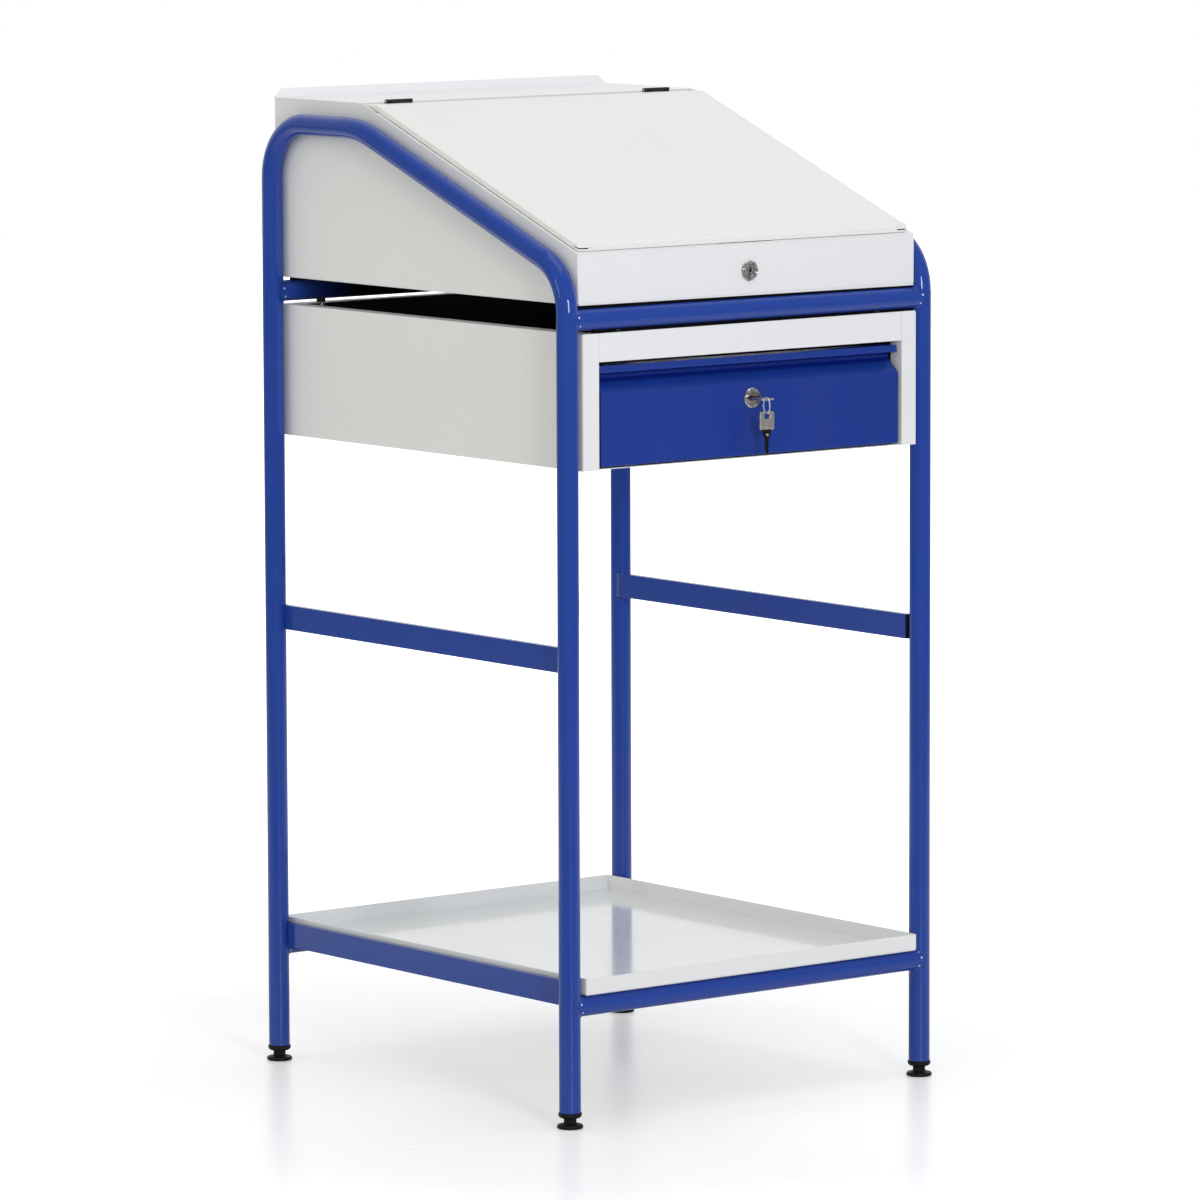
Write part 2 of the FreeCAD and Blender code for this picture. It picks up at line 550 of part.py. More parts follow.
def hingeFixed(name, side):
    body = newBody(name, x=f"{side} * hingeX")
    barrel = newSketch(body, name + "_barrel", "YZ_Plane")
    circle(barrel, "hingeY", "hingeZ", "knuckleRadius")
    pad(body, barrel, "hingeLength", symmetric=True)
    leaf = newSketch(body, name + "_leaf", "YZ_Plane")
    rectangle(leaf, "topFront - leaf", "topFront", "boxTop + sheet - fixedLeafDrop", "hingeZ")
    pad(body, leaf, "hingeLength", symmetric=True)
    window = newSketch(body, name + "_window", "XZ_Plane", "-topFront")
    rectangle(window, "knuckle - hingeLength / 2", "hingeLength / 2 - knuckle",
              "hingeZ - knuckleRadius - gap", "hingeZ + knuckleRadius + gap")
    pocket(body, window, "2 * knuckle", symmetric=True)
    bore = newSketch(body, name + "_bore", "YZ_Plane")
    circle(bore, "hingeY", "hingeZ", "pinBore")
    pocket(body, bore, "2 * hingeLength", symmetric=True)


def hingeMoving(name, side):
    body = newBody(name, x=f"{side} * hingeX")
    under = "lidTop - sheet"
    leaf = newSketch(body, name + "_leaf", "YZ_Plane")
    rectangle(leaf, "lidRear - movingLeafLength", "lidRear - leaf", f"{under} - leaf", under)
    pad(body, leaf, "hingeLength", symmetric=True)
    web = newSketch(body, name + "_web", "YZ_Plane")
    polygon(web, [("lidRear - 2 * leaf", f"{under} - leaf"), ("lidRear - leaf", f"{under} - leaf"),
                  ("hingeY - leaf", "hingeZ - knuckleRadius + leaf / 2"),
                  ("hingeY - knuckleRadius + gap", "hingeZ"), ("lidRear - 2 * leaf", under)])
    pad(body, web, "hingeLength - 2 * knuckle - 2 * gap", symmetric=True)
    barrel = newSketch(body, name + "_barrel", "YZ_Plane")
    circle(barrel, "hingeY", "hingeZ", "knuckleRadius")
    pad(body, barrel, "hingeLength - 2 * knuckle - 2 * gap", symmetric=True)
    bore = newSketch(body, name + "_bore", "YZ_Plane")
    circle(bore, "hingeY", "hingeZ", "pinBore")
    pocket(body, bore, "2 * hingeLength", symmetric=True)


def hingePins():
    body = newBody("hinge_pins", grouped=True)
    pin = newSketch(body, "pin_section", "YZ_Plane", "hingeX - hingeLength / 2")
    circle(pin, "hingeY", "hingeZ", "pinRadius")
    pair = pad(body, pin, "hingeLength")
    mirror(body, "pin_pair", [pair])


def lockHousing(name, face, height):
    body = newBody(name, y=f"-{face}", z=height)
    bezel = newSketch(body, name + "_bezel", "XZ_Plane", "bezelThick")
    circle(bezel, "0", "0", "bezelRadius")
    pad(body, bezel, "bezelThick", back=True)
    soften(body, name + "_dome", "Fillet", "bezelEdge", lambda edge: edge.BoundBox.YMax < -1)
    barrel = newSketch(body, name + "_barrel", "XZ_Plane")
    circle(barrel, "0", "0", "lockRadius")
    pad(body, barrel, "lockDepth", back=True)
    bore = newSketch(body, name + "_bore", "XZ_Plane", "bezelThick")
    circle(bore, "0", "0", "plugBore")
    pocket(body, bore, "bezelThick + lockDepth")


def lockPlug(name, face, height, upright):
    body = newBody(name, y=f"-{face}", z=height)
    front = "bezelThick - gap"
    core = newSketch(body, name + "_core", "XZ_Plane", front)
    circle(core, "0", "0", "plugRadius")
    pad(body, core, f"{front} + lockDepth + gap", back=True)
    tail = newSketch(body, name + "_tail", "XZ_Plane", "-lockDepth - gap")
    rectangle(tail, "-camSquare", "camSquare", "-camSquare", "camSquare")
    pad(body, tail, "camThick", back=True)
    peen = newSketch(body, name + "_peen", "XZ_Plane", "-lockDepth - gap - camThick")
    circle(peen, "0", "0", "camHalf")
    pad(body, peen, "sheet", back=True)
    slot = newSketch(body, name + "_slot", "XZ_Plane", front)
    wide, tall = ("slotThick / 2", "slotHalf") if upright else ("slotHalf", "slotThick / 2")
    rectangle(slot, f"-{wide}", wide, f"-{tall}", tall)
    pocket(body, slot, "slotDepth")


def lockCam(name, face, height, reach, upright):
    body = newBody(name, y=f"-{face}", z=height)
    plate = newSketch(body, name + "_plate", "XZ_Plane", "-lockDepth - gap")
    square = "camSquare + runningFit"
    if upright:
        rectangle(plate, "-camHalf", "camHalf", "-camHalf", reach)
    else:
        rectangle(plate, "-camHalf", reach, "-camHalf", "camHalf")
    rectangle(plate, f"-({square})", square, f"-({square})", square)
    pad(body, plate, "camThick", back=True)
    soften(body, name + "_corners", "Fillet", "camHalf / 2", lambda edge: along(edge, "y")
           and max(abs(edge.CenterOfMass.x), abs(edge.CenterOfMass.z)) > value("camHalf") - 0.01)


def lockNut(name, face, height):
    body = newBody(name, y=f"-{face}", z=height)
    hexagon = newSketch(body, name + "_hexagon", "XZ_Plane", "-sheet")
    polygon(hexagon, [("nutCorner", "0"), ("nutCorner / 2", "nutFlats / 2"),
                      ("-nutCorner / 2", "nutFlats / 2"),
                      ("-nutCorner", "0"), ("-nutCorner / 2", "-nutFlats / 2"),
                      ("nutCorner / 2", "-nutFlats / 2")])
    circle(hexagon, "0", "0", "lockHole")
    pad(body, hexagon, "nutThick", back=True)


def boxScrews():
    body = newBody("box_screws", grouped=True)
    spots = [("boxScrewRear", "loopTop"), ("-boxScrewFront", "boxScrewSlopeZ")]
    heads = newSketch(body, "box_screw_heads", "YZ_Plane", "boxHalf - sheet - screwHead")
    shanks = newSketch(body, "box_screw_shanks", "YZ_Plane", "boxHalf - sheet")
    for y, z in spots:
        circle(heads, y, z, "screwHeadRadius")
        circle(shanks, y, z, "screwRadius")
    features = [pad(body, heads, "screwHead"), pad(body, shanks, "screwGrip")]
    mirror(body, "box_screw_pairs", features)


def cabinetFixings():
    body = newBody("cabinet_screws", grouped=True)
    heads = newSketch(body, "cabinet_screw_heads", "XY_Plane", "cabinetTop - sheet - screwHead")
    shanks = newSketch(body, "cabinet_screw_shanks", "XY_Plane", "cabinetTop - sheet")
    spacers = newBody("cabinet_spacers", grouped=True)
    rings = newSketch(spacers, "spacer_rings", "XY_Plane", "cabinetTop")
    for end in (-1, 1):
        spot = ("cabinetScrewX", f"{end} * legY")
        circle(heads, *spot, "screwHeadRadius")
        circle(shanks, *spot, "screwRadius")
        circle(rings, *spot, "spacerRadius")
        circle(rings, *spot, "screwRadius + runningFit")
    features = [pad(body, heads, "screwHead"), pad(body, shanks, "sheet + spacerHeight + screwRise")]
    mirror(body, "cabinet_screw_pairs", features)
    mirror(spacers, "spacer_pairs", [pad(spacers, rings, "spacerHeight")])


def cabinetSide(name, side):
    body = newBody(name)
    skin = newSketch(body, name + "_skin", "XY_Plane", "cabinetFloor")
    inward = -side
    polygon(skin, fold([(f"{side} * openingHalf", "-cabinetDepth", 0, 1),
                        (f"{side} * cabinetHalf", "-cabinetDepth", inward, 1),
                        (f"{side} * cabinetHalf", "cabinetDepth", inward, 0)]))
    pad(body, skin, "cabinetTop - cabinetFloor")
    flange = newSketch(body, name + "_flange", "XY_Plane", "cabinetTop - sheet")
    inner, outer = f"{side} * (cabinetHalf - topFlange)", f"{side} * (cabinetHalf - sheet / 2)"
    rectangle(flange, inner, outer, "sheet / 2 - cabinetDepth", "cabinetDepth - sheet")
    pad(body, flange, "sheet")
    edge = newSketch(body, name + "_return", "XY_Plane", "cabinetFloor + sheet")
    inner, outer = f"{side} * openingHalf", f"{side} * (openingHalf + sheet)"
    rectangle(edge, inner, outer, "sheet / 2 - cabinetDepth", "stileReturn - cabinetDepth")
    pad(body, edge, "cabinetTop - cabinetFloor - 2 * sheet")
    half, depth, top = value("cabinetHalf"), value("cabinetDepth"), value("cabinetTop")
    soften(body, name + "_corner", "Fillet", "cabinetCorner",
           lambda item: along(item, "z") and abs(abs(item.CenterOfMass.x) - half) < 0.01
           and item.CenterOfMass.y < 0.01 - depth)
    soften(body, name + "_top_edge", "Fillet", "sheet / 2", lambda item: item.BoundBox.ZMin > top - 0.01
           and (abs(abs(item.CenterOfMass.x) - half) < 0.01 or item.CenterOfMass.y < 1 - depth))


def cabinetBack():
    body = newBody("cabinet_back")
    skin = newSketch(body, "back_skin", "YZ_Plane")
    rectangle(skin, "cabinetDepth - sheet", "cabinetDepth", "cabinetFloor", "cabinetTop")
    pad(body, skin, "2 * (cabinetHalf - sheet)", symmetric=True)
    flange = newSketch(body, "back_flange", "YZ_Plane")
    rectangle(flange, "cabinetDepth - topFlange", "cabinetDepth - sheet / 2", "cabinetTop - sheet",
              "cabinetTop")
    pad(body, flange, "2 * openingHalf", symmetric=True)
    screwHoles(body, "back_holes", "legY")


def cabinetBottom():
    body = newBody("cabinet_bottom")
    skin = newSketch(body, "bottom_skin", "XY_Plane", "cabinetFloor")
    rectangle(skin, "sheet - cabinetHalf", "cabinetHalf - sheet", "-floorFront", "cabinetDepth - sheet")
    pad(body, skin, "sheet")


def cabinetFrontRail():
    body = newBody("cabinet_front_rail")
    section = newSketch(body, "front_rail_section", "YZ_Plane")
    polygon(section, fold([("frontRailReturn - cabinetDepth", "frontRailLow", 0, 1),
                           ("-cabinetDepth", "frontRailLow", 1, 1), ("-cabinetDepth", "cabinetTop", 1, -1),
                           ("topFlange - cabinetDepth", "cabinetTop", 0, -1)]))
    pad(body, section, "2 * openingHalf", symmetric=True)
    screwHoles(body, "front_rail_holes", "-legY")
    depth = value("cabinetDepth")
    soften(body, "front_rail_edges", "Fillet", "sheet / 2",
           lambda edge: along(edge, "x") and edge.CenterOfMass.y < 0.01 - depth)


def screwHoles(body, name, y):
    holes = newSketch(body, name, "XY_Plane", "cabinetTop")
    for side in (-1, 1):
        circle(holes, f"{side} * cabinetScrewX", y, "screwRadius + runningFit")
    pocket(body, holes, "2 * sheet")


def channel(name, side, opening, web, lip, height):
    body = newBody(name, y="-runnerFront", z="runnerMid")
    section = newSketch(body, name + "_section", "XZ_Plane")
    polygon(section, fold([(f"{side} * ({lip})", f"({height}) / 2", 0, -1),
                           (f"{side} * ({web})", f"({height}) / 2", side * opening, -1),
                           (f"{side} * ({web})", f"-({height}) / 2", side * opening, 1),
                           (f"{side} * ({lip})", f"-({height}) / 2", 0, 1)]))
    pad(body, section, "runnerLength", back=True)


def drawerFront():
    body = newBody("drawer_front", y="-drawerFace")
    section = newSketch(body, "drawer_front_section", "YZ_Plane")
    polygon(section, fold([("drawerLip", "drawerFloor", 0, 1), ("0", "drawerFloor", 1, 1),
                           ("0", "grooveLow", 1, "-grooveMitre"),
                           ("grooveDepth", "grooveHigh", 1, "-grooveMitre"),
                           ("grooveDepth", "railLow", 1, 1), ("noseLow", "railLow", "noseLowMitre", 1),
                           ("noseHigh", "drawerTop", "noseHighMitre", -1), ("topReturn", "drawerTop", -1, -1),
                           ("topReturn", "topReturnLow", -1, 0)]))
    pad(body, section, "2 * drawerHalf", symmetric=True)
    hole = newSketch(body, "drawer_lock_hole", "XZ_Plane")
    circle(hole, "0", "drawerLockZ", "lockHole")
    pocket(body, hole, "bezelThick")
    low, high = value("drawerFloor"), value("grooveLow")
    soften(body, "drawer_front_folds", "Fillet", "sheet", lambda edge: along(edge, "x")
           and abs(edge.CenterOfMass.y) < 0.01 and low - 1 < edge.CenterOfMass.z < high + 1)


def drawerTray():
    body = newBody("drawer_tray", y="-drawerBack")
    section = newSketch(body, "drawer_tray_section", "XZ_Plane")
    polygon(section, fold([("wallReturn - trayWallHalf", "trayWallTop", 0, -1),
                           ("-trayWallHalf", "trayWallTop", 1, -1),
                           ("-trayWallHalf", "drawerTrayFloor", 1, 1),
                           ("trayWallHalf", "drawerTrayFloor", -1, 1),
                           ("trayWallHalf", "trayWallTop", -1, -1),
                           ("trayWallHalf - wallReturn", "trayWallTop", 0, -1)]))
    pad(body, section, "drawerBack + drawerRear", back=True)


def drawerBackWall():
    body = newBody("drawer_back")
    half = "trayWallHalf - sheet"
    section = newSketch(body, "drawer_back_section", "XZ_Plane", "sheet - drawerRear")
    polygon(section, [(f"-({half})", "drawerTrayFloor + sheet"), (half, "drawerTrayFloor + sheet"),
                      (half, "trayWallTop - sheet"),
                      ("trayWallHalf - wallReturn - gap", "trayWallTop - sheet"),
                      ("trayWallHalf - wallReturn - gap", "trayWallTop"),
                      ("wallReturn + gap - trayWallHalf", "trayWallTop"),
                      ("wallReturn + gap - trayWallHalf", "trayWallTop - sheet"),
                      (f"-({half})", "trayWallTop - sheet")])
    pad(body, section, "sheet", back=True)


def keyBow(name, **place):
    body = newBody(name, **place)
    outline = newSketch(body, name + "_outline", "XY_Plane")
    rectangle(outline, "-bowHalf", "bowHalf", "0", "bowLength")
    pad(body, outline, "bowThick", symmetric=True)
    soften(body, name + "_corners", "Fillet", "bowCorner", lambda edge: along(edge, "z"))
    hole = newSketch(body, name + "_hole", "XY_Plane")
    circle(hole, "0", "bowWeb + bowHole", "bowHole")
    pocket(body, hole, "2 * bowThick", symmetric=True)
    return body


def keyBlade(name, **place):
    body = newBody(name, **place)
    collar = newSketch(body, name + "_collar", "XY_Plane")
    collarEnd = "bowLength + collarLength"
    tip = "bowLength + collarLength + bladeLength"
    polygon(collar, [("-collarWide / 2", "bowLength"), ("collarWide / 2", "bowLength"),
                     ("collarNarrow / 2", collarEnd), ("-collarNarrow / 2", collarEnd)])
    pad(body, collar, "collarThick", symmetric=True)
    blade = newSketch(body, name + "_blade", "XY_Plane")
    polygon(blade, [("-bladeWide / 2", "bowLength"), ("bladeWide / 2", "bowLength"),
                    ("bladeWide / 2", f"{tip} - bladeWide"), ("bladeNarrow / 2", f"{tip} - bladeTip"),
                    ("bladeNarrow / 2 - bladeTip", tip), ("bladeTip - bladeNarrow / 2", tip),
                    ("-bladeNarrow / 2", f"{tip} - bladeTip"), ("-bladeWide / 2", f"{tip} - bladeWide")])
    pad(body, blade, "bladeThick", symmetric=True)
    return body


def hangDown(body):
    base = body.Placement.Base
    body.Placement = FreeCAD.Placement(base, FreeCAD.Rotation(-value("spareYaw"), 0, -90))


def keyRing():
    body = newBody("key_ring", x="-ringX", y="-ringY", z="ringZ")
    body.setExpression("Placement.Rotation.Angle", link("-ringYaw * 1 deg"))
    wire = newSketch(body, "ring_wire", "XY_Plane")
    circle(wire, "0", "ringRadius", "wireRadius")
    turned = body.newObject("PartDesign::Revolution", "ring_turned")
    turned.Profile = wire
    turned.ReferenceAxis = (wire, ["H_Axis"])
    turned.Angle = 360


def buildFrame():
    for name, side in (("left", -1), ("right", 1)):
        sideLoop(f"side_loop_{name}", side)
        flatRail(f"mid_side_rail_{name}", side, "midFlatRail", "flatRailHalf")
        flatRail(f"lower_side_rail_{name}", side, "lowFlatRail", "flatRailShort")
    for name, end in (("front", -1), ("rear", 1)):
        crossRail(f"upper_cross_rail_{name}", end, "upperRail", True)
        crossRail(f"lower_cross_rail_{name}", end, "lowerRail", False)
    trayShelf()
    legCaps()
    for name, side, end in (("front_left", -1, -1), ("front_right", 1, -1),
                            ("rear_left", -1, 1), ("rear_right", 1, 1)):
        levellingFoot(f"levelling_foot_{name}", side, end)


def buildDeskBox():
    deskBoxShell()
    deskBoxRim()
    deskBoxTop()
    lid()
    lidStiffener()
    lidStrike()
    for name, side in (("left", -1), ("right", 1)):
        hingeFixed(f"hinge_fixed_{name}", side)
        hingeMoving(f"hinge_moving_{name}", side)
    hingePins()
    boxScrews()


def buildLocks():
    for name, face, height, reach, upright in (
            ("lid_lock", "boxFront", "lidLockZ", "lidCamReach", True),
            ("drawer_lock", "drawerFace", "drawerLockZ", "drawerCamReach", False)):
        lockHousing(name + "_housing", face, height)
        lockPlug(name + "_plug", face, height, upright)
        lockCam(name + "_cam", face, height, reach, upright)
        lockNut(name + "_nut", face, height)


def buildCabinet():
    for name, side in (("left", -1), ("right", 1)):
        cabinetSide(f"cabinet_side_{name}", side)
        channel(f"runner_support_{name}", side, 1, "openingHalf", "cabinetHalf - sheet", "supportHeight")
        channel(f"runner_fixed_{name}", side, -1, "openingHalf", "runnerLip", "runnerHeight")
        channel(f"runner_middle_{name}", side, -1, "openingHalf - runnerStep", "runnerLip",
                "runnerHeight - 2 * runnerStep")
        channel(f"runner_moving_{name}", side, 1, "trayWallHalf",
                "openingHalf - 2 * runnerStep - runnerFit", "runnerHeight - 4 * runnerStep")
    cabinetBack()
    cabinetBottom()
    cabinetFrontRail()
    cabinetFixings()
    drawerFront()
    drawerTray()
    drawerBackWall()


def buildKeys():
    inserted = {"y": "-keyEnd", "z": "drawerLockZ"}
    keyBow("drawer_key_bow", **inserted)
    keyBlade("drawer_key_blade", **inserted)
    keyRing()
    hanging = {"x": "-ringX", "y": "-ringY", "z": "spareTop"}
    hangDown(keyBow("spare_key_bow", **hanging))
    hangDown(keyBlade("spare_key_blade", **hanging))


def exportNodes():
    doc.recompute()
    for item in doc.Objects:
        if "Invalid" in item.State or "Error" in item.State:
            raise RuntimeError(f"{item.Label} did not compute")
        shape = getattr(item, "Shape", None)
        if shape is not None and not shape.isNull() and not shape.isValid():
            raise RuntimeError(f"{item.Label} is not a valid shape")
    os.makedirs("parts", exist_ok=True)
    for node in nodes:
        if not node.Shape.Solids:
            raise RuntimeError(f"{node.Label} has no solid")
        node.Shape.exportStep(f"parts/{node.Label}.step")
    print(f"{len(nodes)} nodes written")


buildFrame()
buildDeskBox()
buildLocks()
buildCabinet()
buildKeys()
exportNodes()
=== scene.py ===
import bpy
import bmesh
import json
import math
import random
from mathutils import Matrix, Vector


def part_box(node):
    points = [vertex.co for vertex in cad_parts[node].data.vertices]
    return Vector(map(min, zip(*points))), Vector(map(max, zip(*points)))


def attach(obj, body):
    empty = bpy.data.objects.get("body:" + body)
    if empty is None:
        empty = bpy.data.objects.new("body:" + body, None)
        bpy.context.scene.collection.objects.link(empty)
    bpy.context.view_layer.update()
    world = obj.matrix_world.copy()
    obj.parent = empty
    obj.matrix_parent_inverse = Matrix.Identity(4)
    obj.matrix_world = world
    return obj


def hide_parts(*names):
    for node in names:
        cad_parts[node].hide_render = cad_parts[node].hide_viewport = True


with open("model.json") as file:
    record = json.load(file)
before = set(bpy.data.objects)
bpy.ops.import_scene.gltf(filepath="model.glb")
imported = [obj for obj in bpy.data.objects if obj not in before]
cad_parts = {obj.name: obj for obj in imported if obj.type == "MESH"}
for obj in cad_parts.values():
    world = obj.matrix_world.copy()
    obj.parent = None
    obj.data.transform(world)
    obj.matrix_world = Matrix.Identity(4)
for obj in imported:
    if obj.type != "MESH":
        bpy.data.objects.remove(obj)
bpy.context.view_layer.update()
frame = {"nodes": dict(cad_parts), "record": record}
nodes = frame["nodes"]
mm = 0.001
print("frame loaded:", len(nodes), "nodes")


def boxOf(node):
    low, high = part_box(node)
    return low, high, (low + high) / 2


# the feet and a side loop give the legs' places, which the small pieces follow
frontFoot = boxOf("levelling_foot_front_right")[2]
rearFoot = boxOf("levelling_foot_rear_right")[2]
loopLow, loopHigh, _ = boxOf("side_loop_right")
legX = frontFoot.x
tubeRadius = (loopHigh.x - loopLow.x) / 2
frontLegY, rearLegY = frontFoot.y, rearFoot.y
deskMiddle = (frontLegY + rearLegY) / 2


def addObject(name, data):
    item = bpy.data.objects.new(name, data)
    bpy.context.scene.collection.objects.link(item)
    return item


def wayTo(azimuth, elevation):
    turn, rise = math.radians(azimuth), math.radians(elevation)
    return Vector((math.sin(turn) * math.cos(rise), -math.cos(turn) * math.cos(rise), math.sin(rise)))


def buildCamera():
    view = {"azimuth": -38.3, "elevation": 6.83, "roll": -0.19, "distance": 8.9135, "lens": 225.99,
            "aside": 5.13 * mm, "height": 561.05 * mm, "far": 60}
    turn = math.radians(view["azimuth"])
    right = Vector((math.cos(turn), math.sin(turn), 0))
    target = right * view["aside"] + Vector((0, deskMiddle, view["height"]))
    spot = target + wayTo(view["azimuth"], view["elevation"]) * view["distance"]
    tilt = Matrix.Rotation(turn, 4, "Z") @ Matrix.Rotation(math.radians(90 - view["elevation"]), 4, "X")
    roll = Matrix.Rotation(math.radians(view["roll"]), 4, "Z")
    camera = addObject("camera", bpy.data.cameras.new("camera"))
    camera.data.lens = view["lens"]
    camera.data.clip_end = view["far"]
    camera.matrix_world = Matrix.Translation(spot) @ tilt @ roll
    bpy.context.scene.camera = camera


def buildLights():
    lamps = {
        "frontBox": {"azimuth": -19, "elevation": 12, "distance": 5.5, "wide": 0.9, "tall": 1.3, "power": 84,
                     "colour": (1.0, 0.985, 1.04)},
        "sideBox": {"azimuth": -99, "elevation": 14, "distance": 5.0, "wide": 0.22, "tall": 1.1, "power": 11},
        "overheadBox": {"azimuth": 20, "elevation": 80, "distance": 4.5, "wide": 3, "tall": 3, "power": 28},
    }
    target = Vector((0, deskMiddle, 0.75))
    for name, lamp in lamps.items():
        data = bpy.data.lights.new(name, "AREA")
        data.shape = "RECTANGLE"
        data.size, data.size_y = lamp["wide"], lamp["tall"]
        data.energy = lamp["power"]
        data.color = lamp.get("colour", (1.0, 1.0, 1.0))
        way = wayTo(lamp["azimuth"], lamp["elevation"])
        light = addObject(name, data)
        light.location = target + way * lamp["distance"]
        light.rotation_euler = (-way).to_track_quat("-Z", "Y").to_euler()


def addNode(tree, kind, **settings):
    node = tree.nodes.new("ShaderNode" + kind)
    for key, setting in settings.items():
        setattr(node, key, setting)
    return node


def wire(tree, start, end):
    tree.links.new(start, end)
    return end


def rescale(tree, source, low, high, newLow, newHigh):
    node = addNode(tree, "MapRange")
    wire(tree, source, node.inputs["Value"])
    for key, number in (("From Min", low), ("From Max", high), ("To Min", newLow), ("To Max", newHigh)):
        node.inputs[key].default_value = number
    return node.outputs["Result"]


def combine(tree, operation, first, second):
    node = addNode(tree, "Math", operation=operation)
    for socket, source in zip(node.inputs, (first, second)):
        if isinstance(source, (int, float)):
            socket.default_value = source
        else:
            wire(tree, source, socket)
    return node.outputs["Value"]


def times(tree, first, second):
    return combine(tree, "MULTIPLY", first, second)


def along(tree, spots, way):
    node = addNode(tree, "VectorMath", operation="DOT_PRODUCT")
    wire(tree, spots, node.inputs[0])
    node.inputs[1].default_value = way
    return node.outputs["Value"]


def mixColour(tree, share, first, second):
    node = addNode(tree, "Mix", data_type="RGBA")
    wire(tree, share, node.inputs["Factor"])
    for key, colour in (("A", first), ("B", second)):
        socket = next(item for item in node.inputs if item.name == key and item.type == "RGBA")
        if isinstance(colour, tuple):
            socket.default_value = (*colour, 1)
        else:
            wire(tree, colour, socket)
    return next(item for item in node.outputs if item.type == "RGBA")


def noise(tree, spots, scale, detail=2.0, stretch=None):
    node = addNode(tree, "TexNoise")
    node.inputs["Scale"].default_value = scale
    node.inputs["Detail"].default_value = detail
    if stretch:
        mapping = addNode(tree, "Mapping")
        mapping.inputs["Scale"].default_value = stretch
        wire(tree, spots, mapping.inputs["Vector"])
        spots = mapping.outputs["Vector"]
    wire(tree, spots, node.inputs["Vector"])
    return node.outputs["Fac"]


def newMaterial(name):
    material = bpy.data.materials.new(name)
    material.use_nodes = True
    tree = material.node_tree
    spots = addNode(tree, "TexCoord").outputs["Object"]
    return material, tree, tree.nodes["Principled BSDF"], spots


def roundedEdges(tree, radius):
    bevel = addNode(tree, "Bevel", samples=4)
    bevel.inputs["Radius"].default_value = radius
    flat = addNode(tree, "NewGeometry").outputs["Normal"]
    dot = addNode(tree, "VectorMath", operation="DOT_PRODUCT")
    wire(tree, bevel.outputs["Normal"], dot.inputs[0])
    wire(tree, flat, dot.inputs[1])
    return bevel.outputs["Normal"], rescale(tree, dot.outputs["Value"], 0.8, 0.98, 1, 0)


def bumped(tree, height, normal, strength, depth):
    bump = addNode(tree, "Bump")
    bump.inputs["Strength"].default_value = strength
    bump.inputs["Distance"].default_value = depth
    wire(tree, height, bump.inputs["Height"])
    wire(tree, normal, bump.inputs["Normal"])
    return bump.outputs["Normal"]


def axesOf(tree, spots):
    split = addNode(tree, "SeparateXYZ")
    wire(tree, spots, split.inputs["Vector"])
    return split.outputs


def insideBox(tree, spots, low, high):
    axes = axesOf(tree, spots)
    share = None
    for axis, least, most in zip("XYZ", low, high):
        above = combine(tree, "GREATER_THAN", axes[axis], least)
        below = combine(tree, "LESS_THAN", axes[axis], most)
        both = times(tree, above, below)
        share = times(tree, share, both) if share else both
    return share


def heightBands(tree, spots, shadeBands):
    low, high = shadeBands[0][0], shadeBands[-1][0]
    ramp = addNode(tree, "ValToRGB")
    stops = ramp.color_ramp.elements
    stops[0].position, stops[1].position = 0, 1
    for height, tone in shadeBands[1:-1]:
        stops.new((height - low) / (high - low))
    for stop, (height, tone) in zip(stops, shadeBands):
        stop.color = (tone, tone, tone, 1)
    wire(tree, rescale(tree, axesOf(tree, spots)["Z"], low, high, 0, 1), ramp.inputs["Fac"])
    bright = addNode(tree, "RGBToBW")
    wire(tree, ramp.outputs["Color"], bright.inputs["Color"])
    return bright.outputs["Val"]


# the part of each noise's range that a finish spreads over
span = {"patch": (0.3, 0.7), "speck": (0.62, 0.8), "wear": (0.45, 0.7), "scuff": (0.35, 0.75),
        "metalPatch": (0.35, 0.65), "grime": (0.5, 0.75)}
# shared noises (scale, detail, stretch), bump depths, and how the dark tones of painted shade dull the shine
surface = {"scuff": (30, 5, (1, 1, 0.15)), "grime": (180, 3), "plastic": (60, 4), "paintDepth": 0.1 * mm,
           "metalDepth": 0.05 * mm, "coatRoughness": 0.05, "grooveShine": (0.3, 0.9, 0.05, 0.5),
           "shadeShine": (0, 1, 0.5, 0.03)}


def patchy(tree, spots, scale, detail, part="patch", most=1):
    return rescale(tree, noise(tree, spots, scale, detail), *span[part], 0, most)


def placedTones(tree, spots, specular, look, colour):
    if "shadeBands" in look:  # painted shade in a folded groove, darker by height
        tone = heightBands(tree, spots, look["shadeBands"])
        colour = mixColour(tree, tone, look["grooveShadeColour"], colour)
        wire(tree, rescale(tree, tone, *surface["grooveShine"]), specular)
    for low, high in look.get("seams", ()):
        share = times(tree, insideBox(tree, spots, low, high), look["seamShare"])
        colour = mixColour(tree, share, colour, look["seamColour"])
    if "shadeStart" in look:  # deep shade toward the middle of a rail's front half
        axes = axesOf(tree, spots)
        aside = combine(tree, "ABSOLUTE", axes["X"], 0)
        inward = rescale(tree, aside, look["shadeFull"], look["shadeStart"], 1, 0)
        middle, blur = look["shadeMiddle"], look["shadeBlur"]
        nearHalf = rescale(tree, axes["Y"], middle - blur, middle + blur, 1, 0)
        shade = times(tree, inward, nearHalf)
        colour = mixColour(tree, shade, colour, look["shadeColour"])
        wire(tree, rescale(tree, shade, *surface["shadeShine"]), specular)
    # the cabinet's inner faces painted near-black: painted shade for its dark inside
    if "inside" in look:
        colour = mixColour(tree, insideBox(tree, spots, *look["inside"]), colour, look["insideShadeColour"])
    return colour


